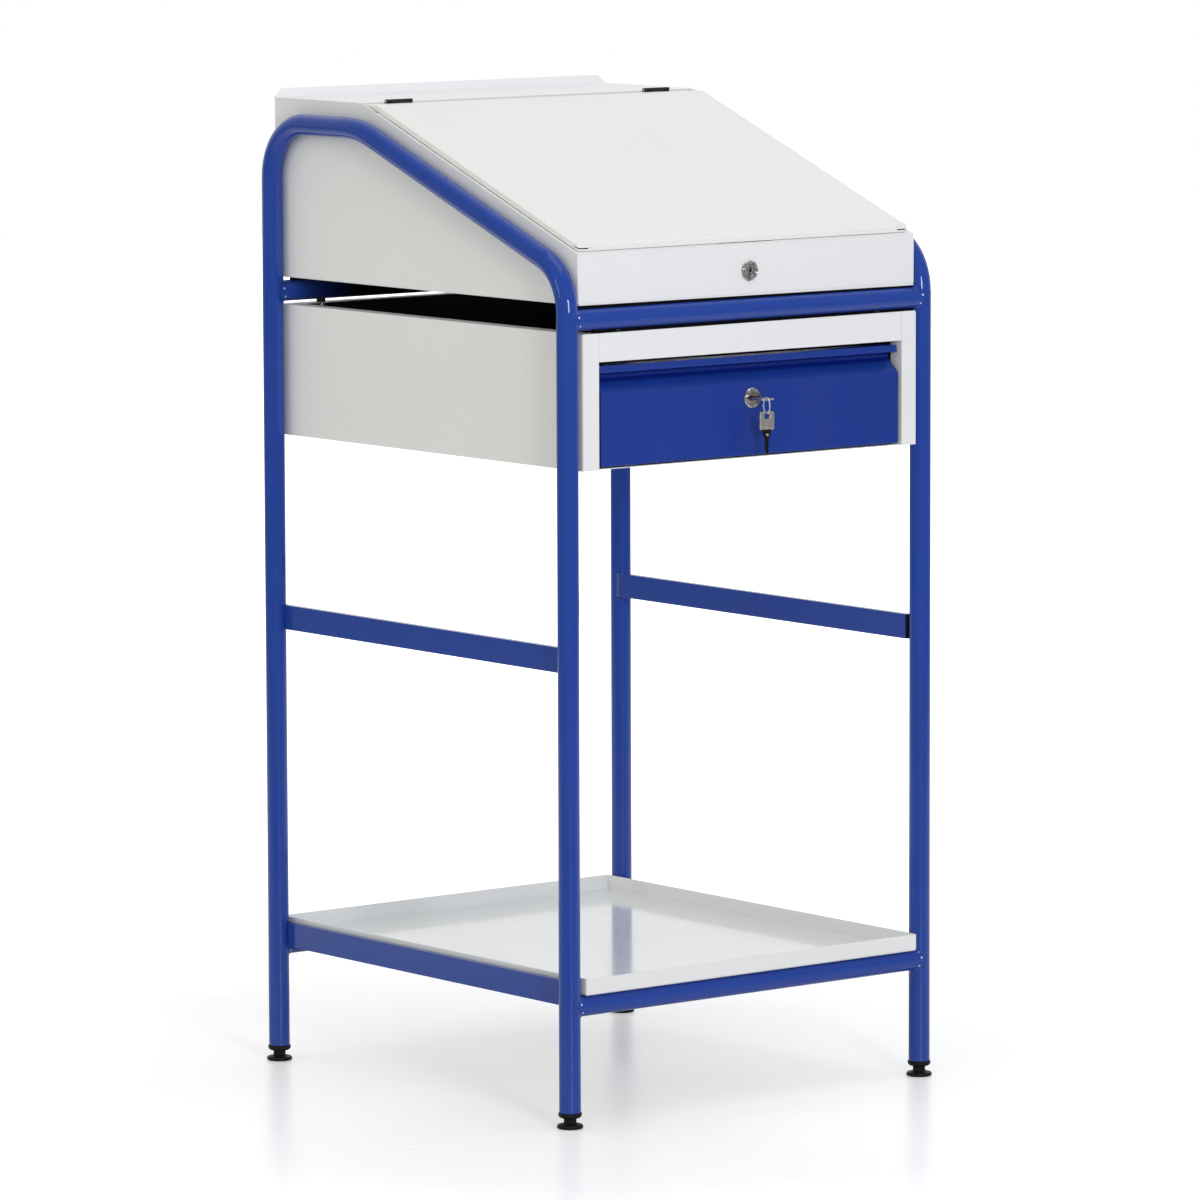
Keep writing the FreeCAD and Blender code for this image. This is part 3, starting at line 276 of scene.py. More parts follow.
def paintedSteel(name, look):
    material, tree, shader, spots = newMaterial(name)
    colour = mixColour(tree, patchy(tree, spots, look["patchScale"], 3), look["colour"], look["shade"])
    speck = patchy(tree, spots, look["speckScale"], 1, "speck", look["speck"])
    colour = mixColour(tree, speck, colour, look["speckColour"])
    rounded, edge = roundedEdges(tree, look["edgeRadius"])
    worn = patchy(tree, spots, look["wearScale"], 4, "wear", look["wear"])
    colour = mixColour(tree, times(tree, edge, worn), colour, look["edgeColour"])
    colour = placedTones(tree, spots, shader.inputs["Specular IOR Level"], look, colour)
    wire(tree, colour, shader.inputs["Base Color"])
    scuffs = noise(tree, spots, *surface["scuff"])
    rough = rescale(tree, scuffs, *span["scuff"], look["roughness"], look["roughness"] + look["roughSpread"])
    wire(tree, rough, shader.inputs["Roughness"])
    peel = noise(tree, spots, look["peelScale"], 2)
    wire(tree, bumped(tree, peel, rounded, look["peel"], surface["paintDepth"]), shader.inputs["Normal"])
    shader.inputs["IOR"].default_value = look.get("ior", 1.5)
    shader.inputs["Coat Weight"].default_value = look.get("coat", 0)
    shader.inputs["Coat Roughness"].default_value = surface["coatRoughness"]
    return material


def platedMetal(name, look):
    material, tree, shader, spots = newMaterial(name)
    shader.inputs["Metallic"].default_value = 1
    patches = patchy(tree, spots, look["patchScale"], 3, "metalPatch")
    colour = mixColour(tree, patches, look["colour"], look["shade"])
    rounded, edge = roundedEdges(tree, look["edgeRadius"])
    grime = patchy(tree, spots, *surface["grime"], "grime", look["grime"])
    colour = mixColour(tree, grime, colour, look["grimeColour"])
    colour = mixColour(tree, rescale(tree, edge, 0, 1, 0, 0.4), colour, look["edgeColour"])
    wire(tree, colour, shader.inputs["Base Color"])
    brushed = noise(tree, spots, look["brushScale"], 3, look["brushStretch"])
    rough = rescale(tree, brushed, *span["patch"], look["roughness"], look["roughness"] + look["roughSpread"])
    wire(tree, rough, shader.inputs["Roughness"])
    wire(tree, bumped(tree, brushed, rounded, look["brush"], surface["metalDepth"]), shader.inputs["Normal"])
    return material


def mouldedPlastic(name, look):
    material, tree, shader, spots = newMaterial(name)
    colour = mixColour(tree, patchy(tree, spots, *surface["plastic"]), look["colour"], look["shade"])
    rounded, edge = roundedEdges(tree, look["edgeRadius"])
    colour = mixColour(tree, rescale(tree, edge, 0, 1, 0, 0.5), colour, look["edgeColour"])
    wire(tree, colour, shader.inputs["Base Color"])
    spark = noise(tree, spots, look["grainScale"], 2)
    rough = rescale(tree, spark, *span["patch"], look["roughness"], look["roughness"] + 0.12)
    wire(tree, rough, shader.inputs["Roughness"])
    wire(tree, bumped(tree, spark, rounded, look["grain"], surface["paintDepth"]), shader.inputs["Normal"])
    shader.inputs["IOR"].default_value = look["ior"]
    return material


# the cabinet's inner faces, painted near-black as painted shade, and the seams beside its front rail
cabinetLow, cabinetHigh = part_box("cabinet_side_left")[0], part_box("cabinet_side_right")[1]
hidden = {"wall": 1.0 * mm, "stile": 21 * mm, "top": 0.7 * mm}
insideLow = (cabinetLow.x + hidden["wall"], cabinetLow.y + hidden["stile"], cabinetLow.z + hidden["top"])
insideHigh = (cabinetHigh.x - hidden["wall"], cabinetHigh.y - hidden["wall"], cabinetHigh.z - hidden["top"])
seam = {"half": 0.35 * mm, "depth": 1 * mm, "down": 32 * mm, "up": 1 * mm}
cabinetSeams = [((x - seam["half"], cabinetLow.y - seam["depth"], cabinetHigh.z - seam["down"]),
                 (x + seam["half"], cabinetLow.y + seam["depth"], cabinetHigh.z + seam["up"]))
                for x in (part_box("cabinet_front_rail")[0].x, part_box("cabinet_front_rail")[1].x)]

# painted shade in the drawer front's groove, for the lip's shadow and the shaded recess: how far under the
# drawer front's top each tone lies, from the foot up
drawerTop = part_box("drawer_front")[1].z
drawerGrooveShade = [(drawerTop - down * mm, tone) for down, tone in (
    (32.3, 0.9), (30.8, 1.0), (20.8, 1.0), (18.8, 0.55), (16.7, 0.3), (15.1, 0.35), (13.9, 0.62),
    (11.9, 0.58), (10.7, 0.25), (7.9, 0.22), (7.4, 1.0), (0.3, 1.0))]

glossBlue = {"ior": 1.45, "colour": (0.0165, 0.056, 0.32), "shade": (0.015, 0.051, 0.302), "patchScale": 5,
             "speckScale": 900, "speck": 0.1, "speckColour": (0.025, 0.07, 0.35), "edgeRadius": 0.7 * mm,
             "edgeColour": (0.05, 0.11, 0.38), "wear": 0.7, "wearScale": 60, "roughness": 0.05,
             "roughSpread": 0.05, "peel": 0.06, "peelScale": 420}
sheetPaint = {"patchScale": 4, "speckScale": 1500, "edgeRadius": 0.6 * mm, "wear": 0.8, "wearScale": 40,
              "roughness": 0.34, "roughSpread": 0.1, "peel": 0.35, "peelScale": 620}
paintLooks = {
    "frameBlue": glossBlue,
    "shadedBlue": {**glossBlue, "shadeFull": 140 * mm, "shadeStart": 222 * mm, "shadeMiddle": rearLegY,
        "shadeBlur": 3 * mm, "shadeColour": (0.0004, 0.0006, 0.002)},
    # pale blue-white paint on the weld domes: painted highlights
    "paintedWeldGlint": {**glossBlue, "ior": 1.5, "colour": (0.5, 0.58, 0.82), "shade": (0.38, 0.46, 0.74),
        "patchScale": 300, "speckColour": (0.7, 0.75, 0.9), "edgeRadius": 0.2 * mm,
        "edgeColour": (0.3, 0.35, 0.6), "wear": 0.2, "wearScale": 200, "roughness": 0.15,
        "roughSpread": 0.1, "peel": 0.1, "peelScale": 900},
    "topGrey": {**sheetPaint, "colour": (0.85, 0.86, 0.88), "shade": (0.83, 0.838, 0.855), "speck": 0.3,
        "speckColour": (0.76, 0.77, 0.79), "edgeColour": (0.88, 0.89, 0.9)},
    # the groove's dark bands are painted shade
    "drawerBlue": {"shadeBands": drawerGrooveShade, "grooveShadeColour": (0.0006, 0.006, 0.17), "ior": 1.4,
        "colour": (0.0088, 0.04, 0.282), "shade": (0.0078, 0.0372, 0.265), "patchScale": 6,
        "speckScale": 1200, "speck": 0.14, "speckColour": (0.015, 0.05, 0.3),
        "edgeRadius": 0.7 * mm, "edgeColour": (0.04, 0.09, 0.34), "wear": 0.6, "wearScale": 50,
        "roughness": 0.26, "roughSpread": 0.12, "peel": 0.2, "peelScale": 520},
    "boxGrey": {**sheetPaint, "seams": cabinetSeams, "seamShare": 0.5, "seamColour": (0.42, 0.43, 0.44),
        "inside": (insideLow, insideHigh), "insideShadeColour": (0.01, 0.01, 0.011),
        "colour": (0.785, 0.797, 0.812), "shade": (0.765, 0.775, 0.788), "speck": 0.35,
        "speckColour": (0.68, 0.71, 0.71), "edgeColour": (0.84, 0.85, 0.85)},
    "lidGrey": {**sheetPaint, "colour": (0.805, 0.803, 0.8), "shade": (0.79, 0.787, 0.782), "speck": 0.3,
        "speckColour": (0.72, 0.72, 0.7), "edgeColour": (0.86, 0.84, 0.8), "roughness": 0.36},
    "trayWhite": {**sheetPaint, "ior": 1.6, "coat": 0.25, "colour": (0.79, 0.805, 0.815),
        "shade": (0.77, 0.785, 0.793), "patchScale": 3, "speckScale": 1100, "speck": 0.18,
        "speckColour": (0.7, 0.72, 0.72), "edgeColour": (0.86, 0.87, 0.87), "wear": 0.7,
        "roughness": 0.12, "roughSpread": 0.08, "peel": 0.16, "peelScale": 320},
    "drawerGrey": {"colour": (0.3, 0.31, 0.32), "shade": (0.27, 0.28, 0.29), "patchScale": 5,
        "speckScale": 1300, "speck": 0.3, "speckColour": (0.24, 0.25, 0.26),
        "edgeRadius": 0.5 * mm, "edgeColour": (0.4, 0.41, 0.41), "wear": 0.6, "wearScale": 50,
        "roughness": 0.38, "roughSpread": 0.12, "peel": 0.3, "peelScale": 600},
    # black for the hinges, and also for the painted shade behind the lid's corner slits and under its sides
    "hingeAndShadeBlack": {"ior": 1.3, "colour": (0.018, 0.017, 0.016), "shade": (0.03, 0.026, 0.022),
        "patchScale": 70, "speckScale": 900, "speck": 0.2, "speckColour": (0.06, 0.055, 0.05),
        "edgeRadius": 0.3 * mm, "edgeColour": (0.2, 0.19, 0.17), "wear": 0.5, "wearScale": 160,
        "roughness": 0.32, "roughSpread": 0.2, "peel": 0.2, "peelScale": 900},
}
polished = {"patchScale": 230, "edgeColour": (0.95, 0.95, 0.95), "brushScale": 500, "brushStretch": (1, 1, 1),
            "brush": 0.04}
drawn = {"brushScale": 700, "brushStretch": (1, 1, 0.06)}
metalLooks = {
    "lockChrome": {**polished, "colour": (0.93, 0.93, 0.93), "shade": (0.42, 0.42, 0.41), "grime": 0.3,
        "grimeColour": (0.26, 0.24, 0.21), "edgeRadius": 0.25 * mm, "roughness": 0.12, "roughSpread": 0.12},
    "ringSteel": {**polished, "colour": (0.95, 0.96, 1.0), "shade": (0.86, 0.88, 0.94), "grime": 0.1,
        "grimeColour": (0.5, 0.5, 0.5), "edgeRadius": 0.1 * mm, "roughness": 0.3, "roughSpread": 0.12},
    "agedNickel": {**polished, "colour": (0.62, 0.57, 0.47), "shade": (0.34, 0.3, 0.24), "patchScale": 260,
        "grime": 0.5, "grimeColour": (0.12, 0.1, 0.08), "edgeColour": (0.66, 0.62, 0.54),
        "edgeRadius": 0.2 * mm, "brush": 0.08, "roughness": 0.22, "roughSpread": 0.15},
    "keyDark": {**drawn, "colour": (0.02, 0.019, 0.018), "shade": (0.035, 0.032, 0.029), "patchScale": 300,
        "grime": 0.2, "grimeColour": (0.05, 0.045, 0.04), "edgeColour": (0.3, 0.29, 0.27),
        "edgeRadius": 0.2 * mm, "brush": 0.1, "roughness": 0.35, "roughSpread": 0.15},
    "keyNickel": {**drawn, "colour": (0.84, 0.81, 0.73), "shade": (0.74, 0.71, 0.64), "patchScale": 120,
        "grime": 0.25, "grimeColour": (0.4, 0.37, 0.32), "edgeColour": (0.95, 0.93, 0.88),
        "edgeRadius": 0.25 * mm, "brush": 0.12, "roughness": 0.26, "roughSpread": 0.14},
    "zincPlate": {"colour": (0.56, 0.57, 0.57), "shade": (0.48, 0.49, 0.47), "patchScale": 60, "grime": 0.3,
        "grimeColour": (0.34, 0.33, 0.3), "edgeColour": (0.72, 0.72, 0.7), "edgeRadius": 0.3 * mm,
        "brushScale": 400, "brushStretch": (1, 0.1, 1), "brush": 0.1, "roughness": 0.3,
        "roughSpread": 0.16},
}
plasticLooks = {
    # near-black and almost unreflecting; the pieces in it stand for shade: painted shade
    "paintedShadeBlack": {"ior": 1.08, "colour": (0.004, 0.004, 0.007), "shade": (0.006, 0.006, 0.01),
        "roughness": 0.5, "edgeRadius": 0.1 * mm, "edgeColour": (0.01, 0.01, 0.014),
        "grainScale": 900, "grain": 0.1},
    "footBlack": {"ior": 1.25, "colour": (0.007, 0.007, 0.007), "shade": (0.012, 0.011, 0.01),
        "roughness": 0.4, "edgeRadius": 0.4 * mm, "edgeColour": (0.035, 0.033, 0.031),
        "grainScale": 1300, "grain": 0.25},
}
finishes = {}
for make, looks in ((paintedSteel, paintLooks), (platedMetal, metalLooks), (mouldedPlastic, plasticLooks)):
    finishes.update({name: make(name, look) for name, look in looks.items()})
print("finishes made:", len(finishes))

slotFinish = {"frame_blue": "frameBlue", "tray_white": "trayWhite", "black_plastic": "footBlack",
              "box_grey": "boxGrey", "lid_grey": "lidGrey", "hinge_black": "hingeAndShadeBlack",
              "plated_steel": "zincPlate", "lock_chrome": "lockChrome", "drawer_blue": "drawerBlue",
              "drawer_grey": "drawerGrey"}
nodeFinish = {"upper_cross_rail_rear": "shadedBlue", "desk_box_top": "topGrey"}


def dressNodes():
    for part in frame["record"]["subparts"]:
        name = part["node"]
        piece = nodes[name]
        piece.data.materials.clear()
        piece.data.materials.append(finishes[nodeFinish.get(name, slotFinish[part["material_slot"]])])


creaseAngle = math.radians(38)  # sharper edges stay hard in the shading
bevelAngle = math.radians(60)


def newPiece(name, mesh, finish, body, nodeNames=()):
    bmesh.ops.remove_doubles(mesh, verts=mesh.verts, dist=0.002 * mm)
    bmesh.ops.recalc_face_normals(mesh, faces=mesh.faces)
    for face in mesh.faces:
        face.smooth = True
    for edge in mesh.edges:
        edge.smooth = edge.calc_face_angle(0) < creaseAngle
    data = bpy.data.meshes.new(name)
    mesh.to_mesh(data)
    mesh.free()
    data.materials.append(finishes[finish])
    piece = addObject(name, data)
    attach(piece, body)
    if nodeNames:
        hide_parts(*nodeNames)


def scaled(points):
    return [(x * mm, y * mm) for x, y in points]


# corners are (x, y, rounding)
def softened(corners, closed, steps):
    points = []
    for i, (x, y, radius) in enumerate(corners):
        here = Vector((x, y))
        if radius == 0 or not closed and i in (0, len(corners) - 1):
            points.append(here)
            continue
        before = Vector(corners[i - 1][:2]) - here
        after = Vector(corners[(i + 1) % len(corners)][:2]) - here
        run = min(radius / math.tan(before.angle(after) / 2), 0.49 * before.length, 0.49 * after.length)
        start, end = here + before.normalized() * run, here + after.normalized() * run
        for k in range(steps + 1):
            share = k / steps
            points.append(start * (1 - share) ** 2 + here * 2 * share * (1 - share) + end * share ** 2)
    return points


def ringAt(mesh, place, radius, height, segments, flute=0.0, flutes=0):
    if radius < 1e-7:
        return [mesh.verts.new(place @ Vector((0, 0, height)))]
    ring = []
    for i in range(segments):
        turn = 2 * math.pi * i / segments
        reach = radius + flute * math.cos(flutes * turn)
        spot = Vector((reach * math.cos(turn), reach * math.sin(turn), height))
        ring.append(mesh.verts.new(place @ spot))
    return ring


def joinRings(mesh, rings, closed=False):
    pairs = list(zip(rings, rings[1:]))
    if closed:
        pairs.append((rings[-1], rings[0]))
    for near, far in pairs:
        count = max(len(near), len(far))
        for i in range(count):
            j = (i + 1) % count
            corners = (near[i % len(near)], near[j % len(near)], far[j % len(far)], far[i % len(far)])
            distinct = list(dict.fromkeys(corners))
            if len(distinct) > 2:
                mesh.faces.new(distinct)


def capped(mesh, rings):
    joinRings(mesh, rings)
    mesh.faces.new(rings[0][::-1])
    mesh.faces.new(rings[-1])


# profile points are (radius, height)
def turned(mesh, place, profile, segments=72, closed=False):
    joinRings(mesh, [ringAt(mesh, place, radius, height, segments) for radius, height in profile], closed)


def plate(mesh, place, loops, low, high):
    rims = []
    for loop in loops:
        corners = [mesh.verts.new(place @ Vector((point.x, point.y, low))) for point in loop]
        rims += [mesh.edges.new((corners[i - 1], corners[i])) for i in range(len(corners))]
    filled = bmesh.ops.triangle_fill(mesh, use_beauty=True, edges=rims)
    faces = [item for item in filled["geom"] if isinstance(item, bmesh.types.BMFace)]
    grown = bmesh.ops.extrude_face_region(mesh, geom=faces)
    lifted = [item for item in grown["geom"] if isinstance(item, bmesh.types.BMVert)]
    bmesh.ops.translate(mesh, verts=lifted, vec=place.to_3x3() @ Vector((0, 0, high - low)))


def eased(mesh, width, steps=2):
    mesh.normal_update()
    edges = [edge for edge in mesh.edges if edge.is_manifold and edge.calc_face_angle(0) > bevelAngle]
    bmesh.ops.bevel(mesh, geom=edges, offset=width, segments=steps, affect="EDGES", profile=0.5)


def circlePoints(middle, radius, steps):
    turns = [2 * math.pi * i / steps for i in range(steps)]
    return [Vector((radius * math.cos(turn), middle + radius * math.sin(turn))) for turn in turns]


def frameAt(spot, right, up):
    right, up = Vector(right).normalized(), Vector(up).normalized()
    turn = Matrix((right, up, right.cross(up))).transposed().to_4x4()
    return Matrix.Translation(spot) @ turn


# weld beads where the rails meet the legs; angles in degrees, innerTurn in radians
weldLook = {"size": 4.2 * mm, "sink": 1.2 * mm, "ripple": 0.32 * mm, "pitch": 2.6 * mm, "steps": 5,
            "openTop": 26, "thinnest": 0.12, "roundSteps": 96, "flatSteps": 26, "innerTurn": 0.42,
            "scatter": 0.25, "seed": 11}
weldDice = random.Random(weldLook["seed"])


def filletRing(mesh, onRail, root, onLeg, outward, travelled):
    wave = abs(math.sin(math.pi * travelled / weldLook["pitch"])) - 0.5
    scatter = weldDice.uniform(-weldLook["scatter"], weldLook["scatter"])
    bulge = outward * (weldLook["ripple"] * (wave + scatter))
    ring = []
    for k in range(weldLook["steps"] + 1):
        share = k / weldLook["steps"]
        spot = onRail * (1 - share) ** 2 + root * 2 * share * (1 - share) + onLeg * share ** 2
        ring.append(mesh.verts.new(spot + bulge * (4 * share * (1 - share))))
    ring.append(mesh.verts.new(root - outward * weldLook["sink"]))
    return ring


def roundRailWeld(mesh, side, legY, height, openTop):
    opening, thin = math.radians(openTop), weldLook["thinnest"]
    rings, travelled, last = [], 0.0, None
    for i in range(weldLook["roundSteps"] + 1):
        turn = opening + (2 * math.pi - 2 * opening) * i / weldLook["roundSteps"]
        level, reach = math.cos(turn), math.sin(turn)
        root = Vector((side * (legX - tubeRadius * abs(level)), legY + tubeRadius * reach,
                       height + tubeRadius * level))
        size = weldLook["size"] * (thin + (1 - thin) * abs(level))
        onRail = root + Vector((-side * size, 0, 0))
        onLeg = root + Vector((0, 0, math.copysign(size, level)))
        outward = Vector((-side * abs(level), reach, level)).normalized()
        travelled += (root - last).length if last else 0
        rings.append(filletRing(mesh, onRail, root, onLeg, outward, travelled))
        last = root
    if openTop:
        capped(mesh, rings)
    else:
        joinRings(mesh, rings, closed=True)


def flatRailWeld(mesh, side, end, railLow, railHigh):
    size, steps = weldLook["size"], weldLook["flatSteps"]
    railEnd = railLow.y if end < 0 else railHigh.y
    leg = Vector((side * legX, frontLegY if end < 0 else rearLegY, 0))
    inner, outer = sorted((abs(railLow.x), abs(railHigh.x)))

    def onTube(turn):
        return leg + Vector((-side * math.cos(turn), -end * math.sin(turn), 0)) * tubeRadius

    past = math.acos((legX - outer) / tubeRadius) - size / tubeRadius
    beads = [(Vector((side * outer, railEnd - end * size, 0)), Vector((side * outer, railEnd, 0)),
              onTube(past), Vector((side, -end * 0.4, 0)).normalized())]
    if end > 0:  # at the front a black plug, black as painted shade, takes the inner bead's place
        near = side * (inner - 0.1 * mm)
        beads.append((Vector((near, railEnd - end * size, 0)), Vector((near, railEnd + end * size * 0.4, 0)),
                      onTube(weldLook["innerTurn"]), Vector((-side, -end * 0.2, 0)).normalized()))
    for onRail, root, onLeg, outward in beads:
        rings = []
        for i in range(steps + 1):
            travelled = (railHigh.z - railLow.z) * i / steps
            height = Vector((0, 0, railLow.z + travelled))
            rings.append(filletRing(mesh, onRail + height, root + height, onLeg + height, outward, travelled))
        capped(mesh, rings)


# small domes at the welds, painted pale blue-white as painted highlights of the lamp's glints
def paintedWeldGlints(mesh, side, legY, height):
    look = {"inward": 3.6 * mm, "proud": 0.8 * mm, "flatness": 0.62, "lean": 0.35, "steps": 6, "segments": 20}
    for level, size in ((0.27, 1.5 * mm), (-0.47, 1.25 * mm)):
        reach = -math.sqrt(1 - level * level)
        root = Vector((side * (legX - tubeRadius * abs(level) - look["inward"]), legY + tubeRadius * reach,
                       height + tubeRadius * level))
        outward = Vector((-side * look["lean"], reach, level)).normalized()
        place = (Matrix.Translation(root + outward * look["proud"])
                 @ outward.to_track_quat("Z", "Y").to_matrix().to_4x4())
        dome = [(size * math.cos(part), size * look["flatness"] * math.sin(part))
                for part in (math.pi / 2 * k / look["steps"] for k in range(-2, look["steps"] + 1))]
        turned(mesh, place, [(0, dome[0][1])] + dome, look["segments"])


# black plugs at the front ends of the side rails; their black is painted shade for the dark gap at the rail
# ends
def buildRailEnds():
    look = {"sink": 0.4 * mm, "foot": 3.0 * mm, "end": 4.6 * mm, "top": 0.3 * mm, "edge": 0.9 * mm,
            "deep": 2.2 * mm}
    mesh = bmesh.new()
    for level in ("mid", "lower"):
        for name, side in (("left", -1), ("right", 1)):
            low, high, _ = boxOf(f"{level}_side_rail_{name}")
            inner = low.x if side > 0 else high.x
            root, past = low.y + look["sink"], low.y - look["end"]
            plug = [(root, look["top"]), (low.y - look["foot"], look["top"]), (past, look["edge"]),
                    (past, look["deep"]), (root, look["deep"])]
            capped(mesh, [[mesh.verts.new((inner + side * depth, y, z)) for y, depth in plug]
                          for z in (low.z + look["sink"], high.z - look["sink"])])
    newPiece("rail_end_shade_plugs", mesh, "paintedShadeBlack", "frame")


def buildWelds():
    ends = (("front", frontLegY), ("rear", rearLegY))
    spots = bmesh.new()
    for level in ("upper", "lower"):
        for end, legY in ends:
            for side in (-1, 1):
                paintedWeldGlints(spots, side, legY, boxOf(f"{level}_cross_rail_{end}")[2].z)
    newPiece("painted_weld_glints", spots, "paintedWeldGlint", "frame")
    buildRailEnds()
    for level, openTop in (("upper", 0), ("lower", weldLook["openTop"])):
        for end, legY in ends:
            mesh = bmesh.new()
            for side in (-1, 1):
                roundRailWeld(mesh, side, legY, boxOf(f"{level}_cross_rail_{end}")[2].z, openTop)
            newPiece(f"{level}_{end}_rail_welds", mesh, "frameBlue", "frame")
    for level in ("mid", "lower"):
        for name, side in (("left", -1), ("right", 1)):
            low, high, _ = boxOf(f"{level}_side_rail_{name}")
            mesh = bmesh.new()
            for end in (-1, 1):
                flatRailWeld(mesh, side, end, low, high)
            newPiece(f"{level}_{name}_rail_welds", mesh, "frameBlue", "frame")
    print("welds built")


# sizes in mm; heights run out from the face of the sheet that the lock sits in
lockLook = {"flange": 3.0, "barrel": 9.0, "bore": 6.0, "plug": 5.95, "depth": 26.0, "threadPitch": 1.25,
            "threadDepth": 0.35, "threadFlank": 0.6, "plugFace": 2.45, "plugEdge": 0.28, "keywayHalf": 4.6,
            "keywayWide": 1.55, "wardStep": 0.9, "keywayDepth": 20.0, "coreEnd": 26.3, "bossHalf": 3.5,
            "bossEnd": 28.8, "screwEnd": 30.0, "screwRadius": 5.5, "screwChamfer": (0.6, 0.5), "seat": 0.02,
            "shadeShutter": (0.9, 1.5)}


def lockBezel(mesh, place):
    look = lockLook
    face = softened([(6.0, 2.1, 0), (6.5, 2.75, 0.2), (7.5, 2.75, 0.3), (8.2, 1.75, 0.4), (8.9, 1.9, 0.3),
                     (9.6, 2.95, 0.5), (10.6, 2.95, 0.6), (12.0, 1.5, 0.9), (12.0, 0.0, 0)], False, 4)
    thread, depth = [(look["barrel"], 0.0)], 0.3
    while depth < look["depth"] - 1:
        thread += [(look["barrel"], -depth),
                   (look["barrel"] - look["threadDepth"], -depth - look["threadFlank"])]
        depth += look["threadPitch"]
    back = [(look["barrel"], -look["depth"]), (look["bore"], -look["depth"])]
    turned(mesh, place, scaled(face + thread + back), closed=True)


def lockCore(mesh, place, slit):
    look = lockLook
    outline = circlePoints(0, look["plug"] * mm, 56)
    plate(mesh, place, [outline, slit], -look["keywayDepth"] * mm, look["plugFace"] * mm)
    eased(mesh, look["plugEdge"] * mm)
    start, end = -look["keywayDepth"] - look["seat"], -look["coreEnd"]
    turned(mesh, place, scaled([(0.0, end), (look["plug"], end), (look["plug"], start), (0.0, start)]), 56)
    half = look["bossHalf"] * mm
    boss = [Vector((x * half, y * half)) for x, y in ((-1, -1), (1, -1), (1, 1), (-1, 1))]
    plate(mesh, place, [boss], -look["bossEnd"] * mm, (end - look["seat"]) * mm)
    radius, (inward, rise) = look["screwRadius"], look["screwChamfer"]
    top, bottom = -look["bossEnd"] - look["seat"], -look["screwEnd"]
    screw = [(0, bottom), (radius - inward, bottom), (radius, bottom + rise), (radius, top), (0, top)]
    turned(mesh, place, scaled(screw), 40)


def buildLock(name, body, upright):
    look = lockLook
    low, _, middle = boxOf(name + "_housing")
    place = frameAt((middle.x, low.y + look["flange"] * mm, middle.z), (1, 0, 0), (0, 0, 1))  # faces -Y
    mesh = bmesh.new()
    lockBezel(mesh, place)
    newPiece(name + "_bezel", mesh, "lockChrome", body, (name + "_housing",))
    half, wide, step = look["keywayHalf"], look["keywayWide"], look["wardStep"]
    keyway = [(-wide, -half), (wide - step, -half), (wide - step, -half * 0.35), (wide, -half * 0.1),
              (wide, half), (step - wide, half), (step - wide, half * 0.35), (-wide, half * 0.1)]
    if upright:
        # a shutter in the keyway, in near-black painted shade that stands for the keyway's dark inside
        mesh = bmesh.new()
        cover = [Vector((x * 1.04 * mm, y * 1.02 * mm)) for x, y in keyway]
        plate(mesh, place, [cover], look["shadeShutter"][0] * mm, look["shadeShutter"][1] * mm)
        newPiece(name + "_shade_shutter", mesh, "paintedShadeBlack", name)
    else:
        keyway = [(-y, x) for x, y in keyway]
    mesh = bmesh.new()
    lockCore(mesh, place, [Vector(point) for point in scaled(keyway)])
    newPiece(name + "_core", mesh, "lockChrome" if upright else "agedNickel", name,
             (name + "_plug",))


keyLook = {"bow": 21 * mm, "bowWide": 19.6 * mm, "bowThick": 2 * mm, "bowRound": 3.4 * mm, "hole": 3.7 * mm,
           "web": 1.5 * mm, "rim": 0.45 * mm, "collarWide": 11.4 * mm, "collarThick": 4 * mm,
           "collarEdge": 0.55 * mm, "tip": 48.9 * mm, "bladeWide": 5 * mm, "bladeThick": 1.9 * mm,
           "bladeEdge": 0.25 * mm, "rivet": 1.7 * mm, "rivetProud": 0.5 * mm, "rivetSink": 0.1 * mm,
           "cuts": (0.8 * mm, 0.3 * mm, 1.1 * mm, 0.5 * mm, 0.9 * mm), "spareYaw": 7}


def keyRivets(mesh, place, height):
    look = keyLook
    for way in (-1, 1):
        spot = place @ Matrix.Translation((0, height, way * look["collarThick"] / 2))
        spot = spot @ Matrix.Rotation(0 if way > 0 else math.pi, 4, "X")
        dome = [(look["rivet"] * math.cos(turn), look["rivetProud"] * math.sin(turn) - look["rivetSink"])
                for turn in (math.pi / 2 * k / 5 for k in range(6))]
        turned(mesh, spot, [(look["rivet"], -0.3 * mm)] + dome, 24)


def keyBlade(mesh, place, end):
    look = keyLook
    wide, tip, thick = look["bladeWide"] / 2, look["tip"], look["bladeThick"] / 2
    first = end + 2 * mm
    room = (tip - look["bladeWide"] - first) / len(look["cuts"])
    edge = [(-wide, end - 1 * mm, 0), (wide, end - 1 * mm, 0), (wide * 0.98, first, 0)]
    for i, cut in enumerate(look["cuts"]):
        foot = first + room * i
        edge += [(wide - cut, foot + room * 0.35, 0.3 * mm), (wide - cut, foot + room * 0.6, 0.3 * mm),
                 (wide * 0.95, foot + room * 0.95, 0.2 * mm)]
    edge += [(wide * 0.5, tip - 1 * mm, 0.6 * mm), (wide * 0.2, tip, 0.4 * mm), (-wide * 0.2, tip, 0.4 * mm),
             (-wide * 0.8, tip - 3 * mm, 0.6 * mm)]
    plate(mesh, place, [softened(edge, True, 3)], -thick, thick)
    eased(mesh, look["bladeEdge"])
    rail = softened([(-wide * 0.42, end, 0), (-wide * 0.12, end, 0), (-wide * 0.12, tip - 5 * mm, 0.2 * mm),
                     (-wide * 0.42, tip - 4 * mm, 0.2 * mm)], True, 3)
    for way in (-1, 1):  # a ridge along each side of the blade
        plate(mesh, place, [rail], way * thick - 0.05 * mm, way * (thick + 0.12 * mm))


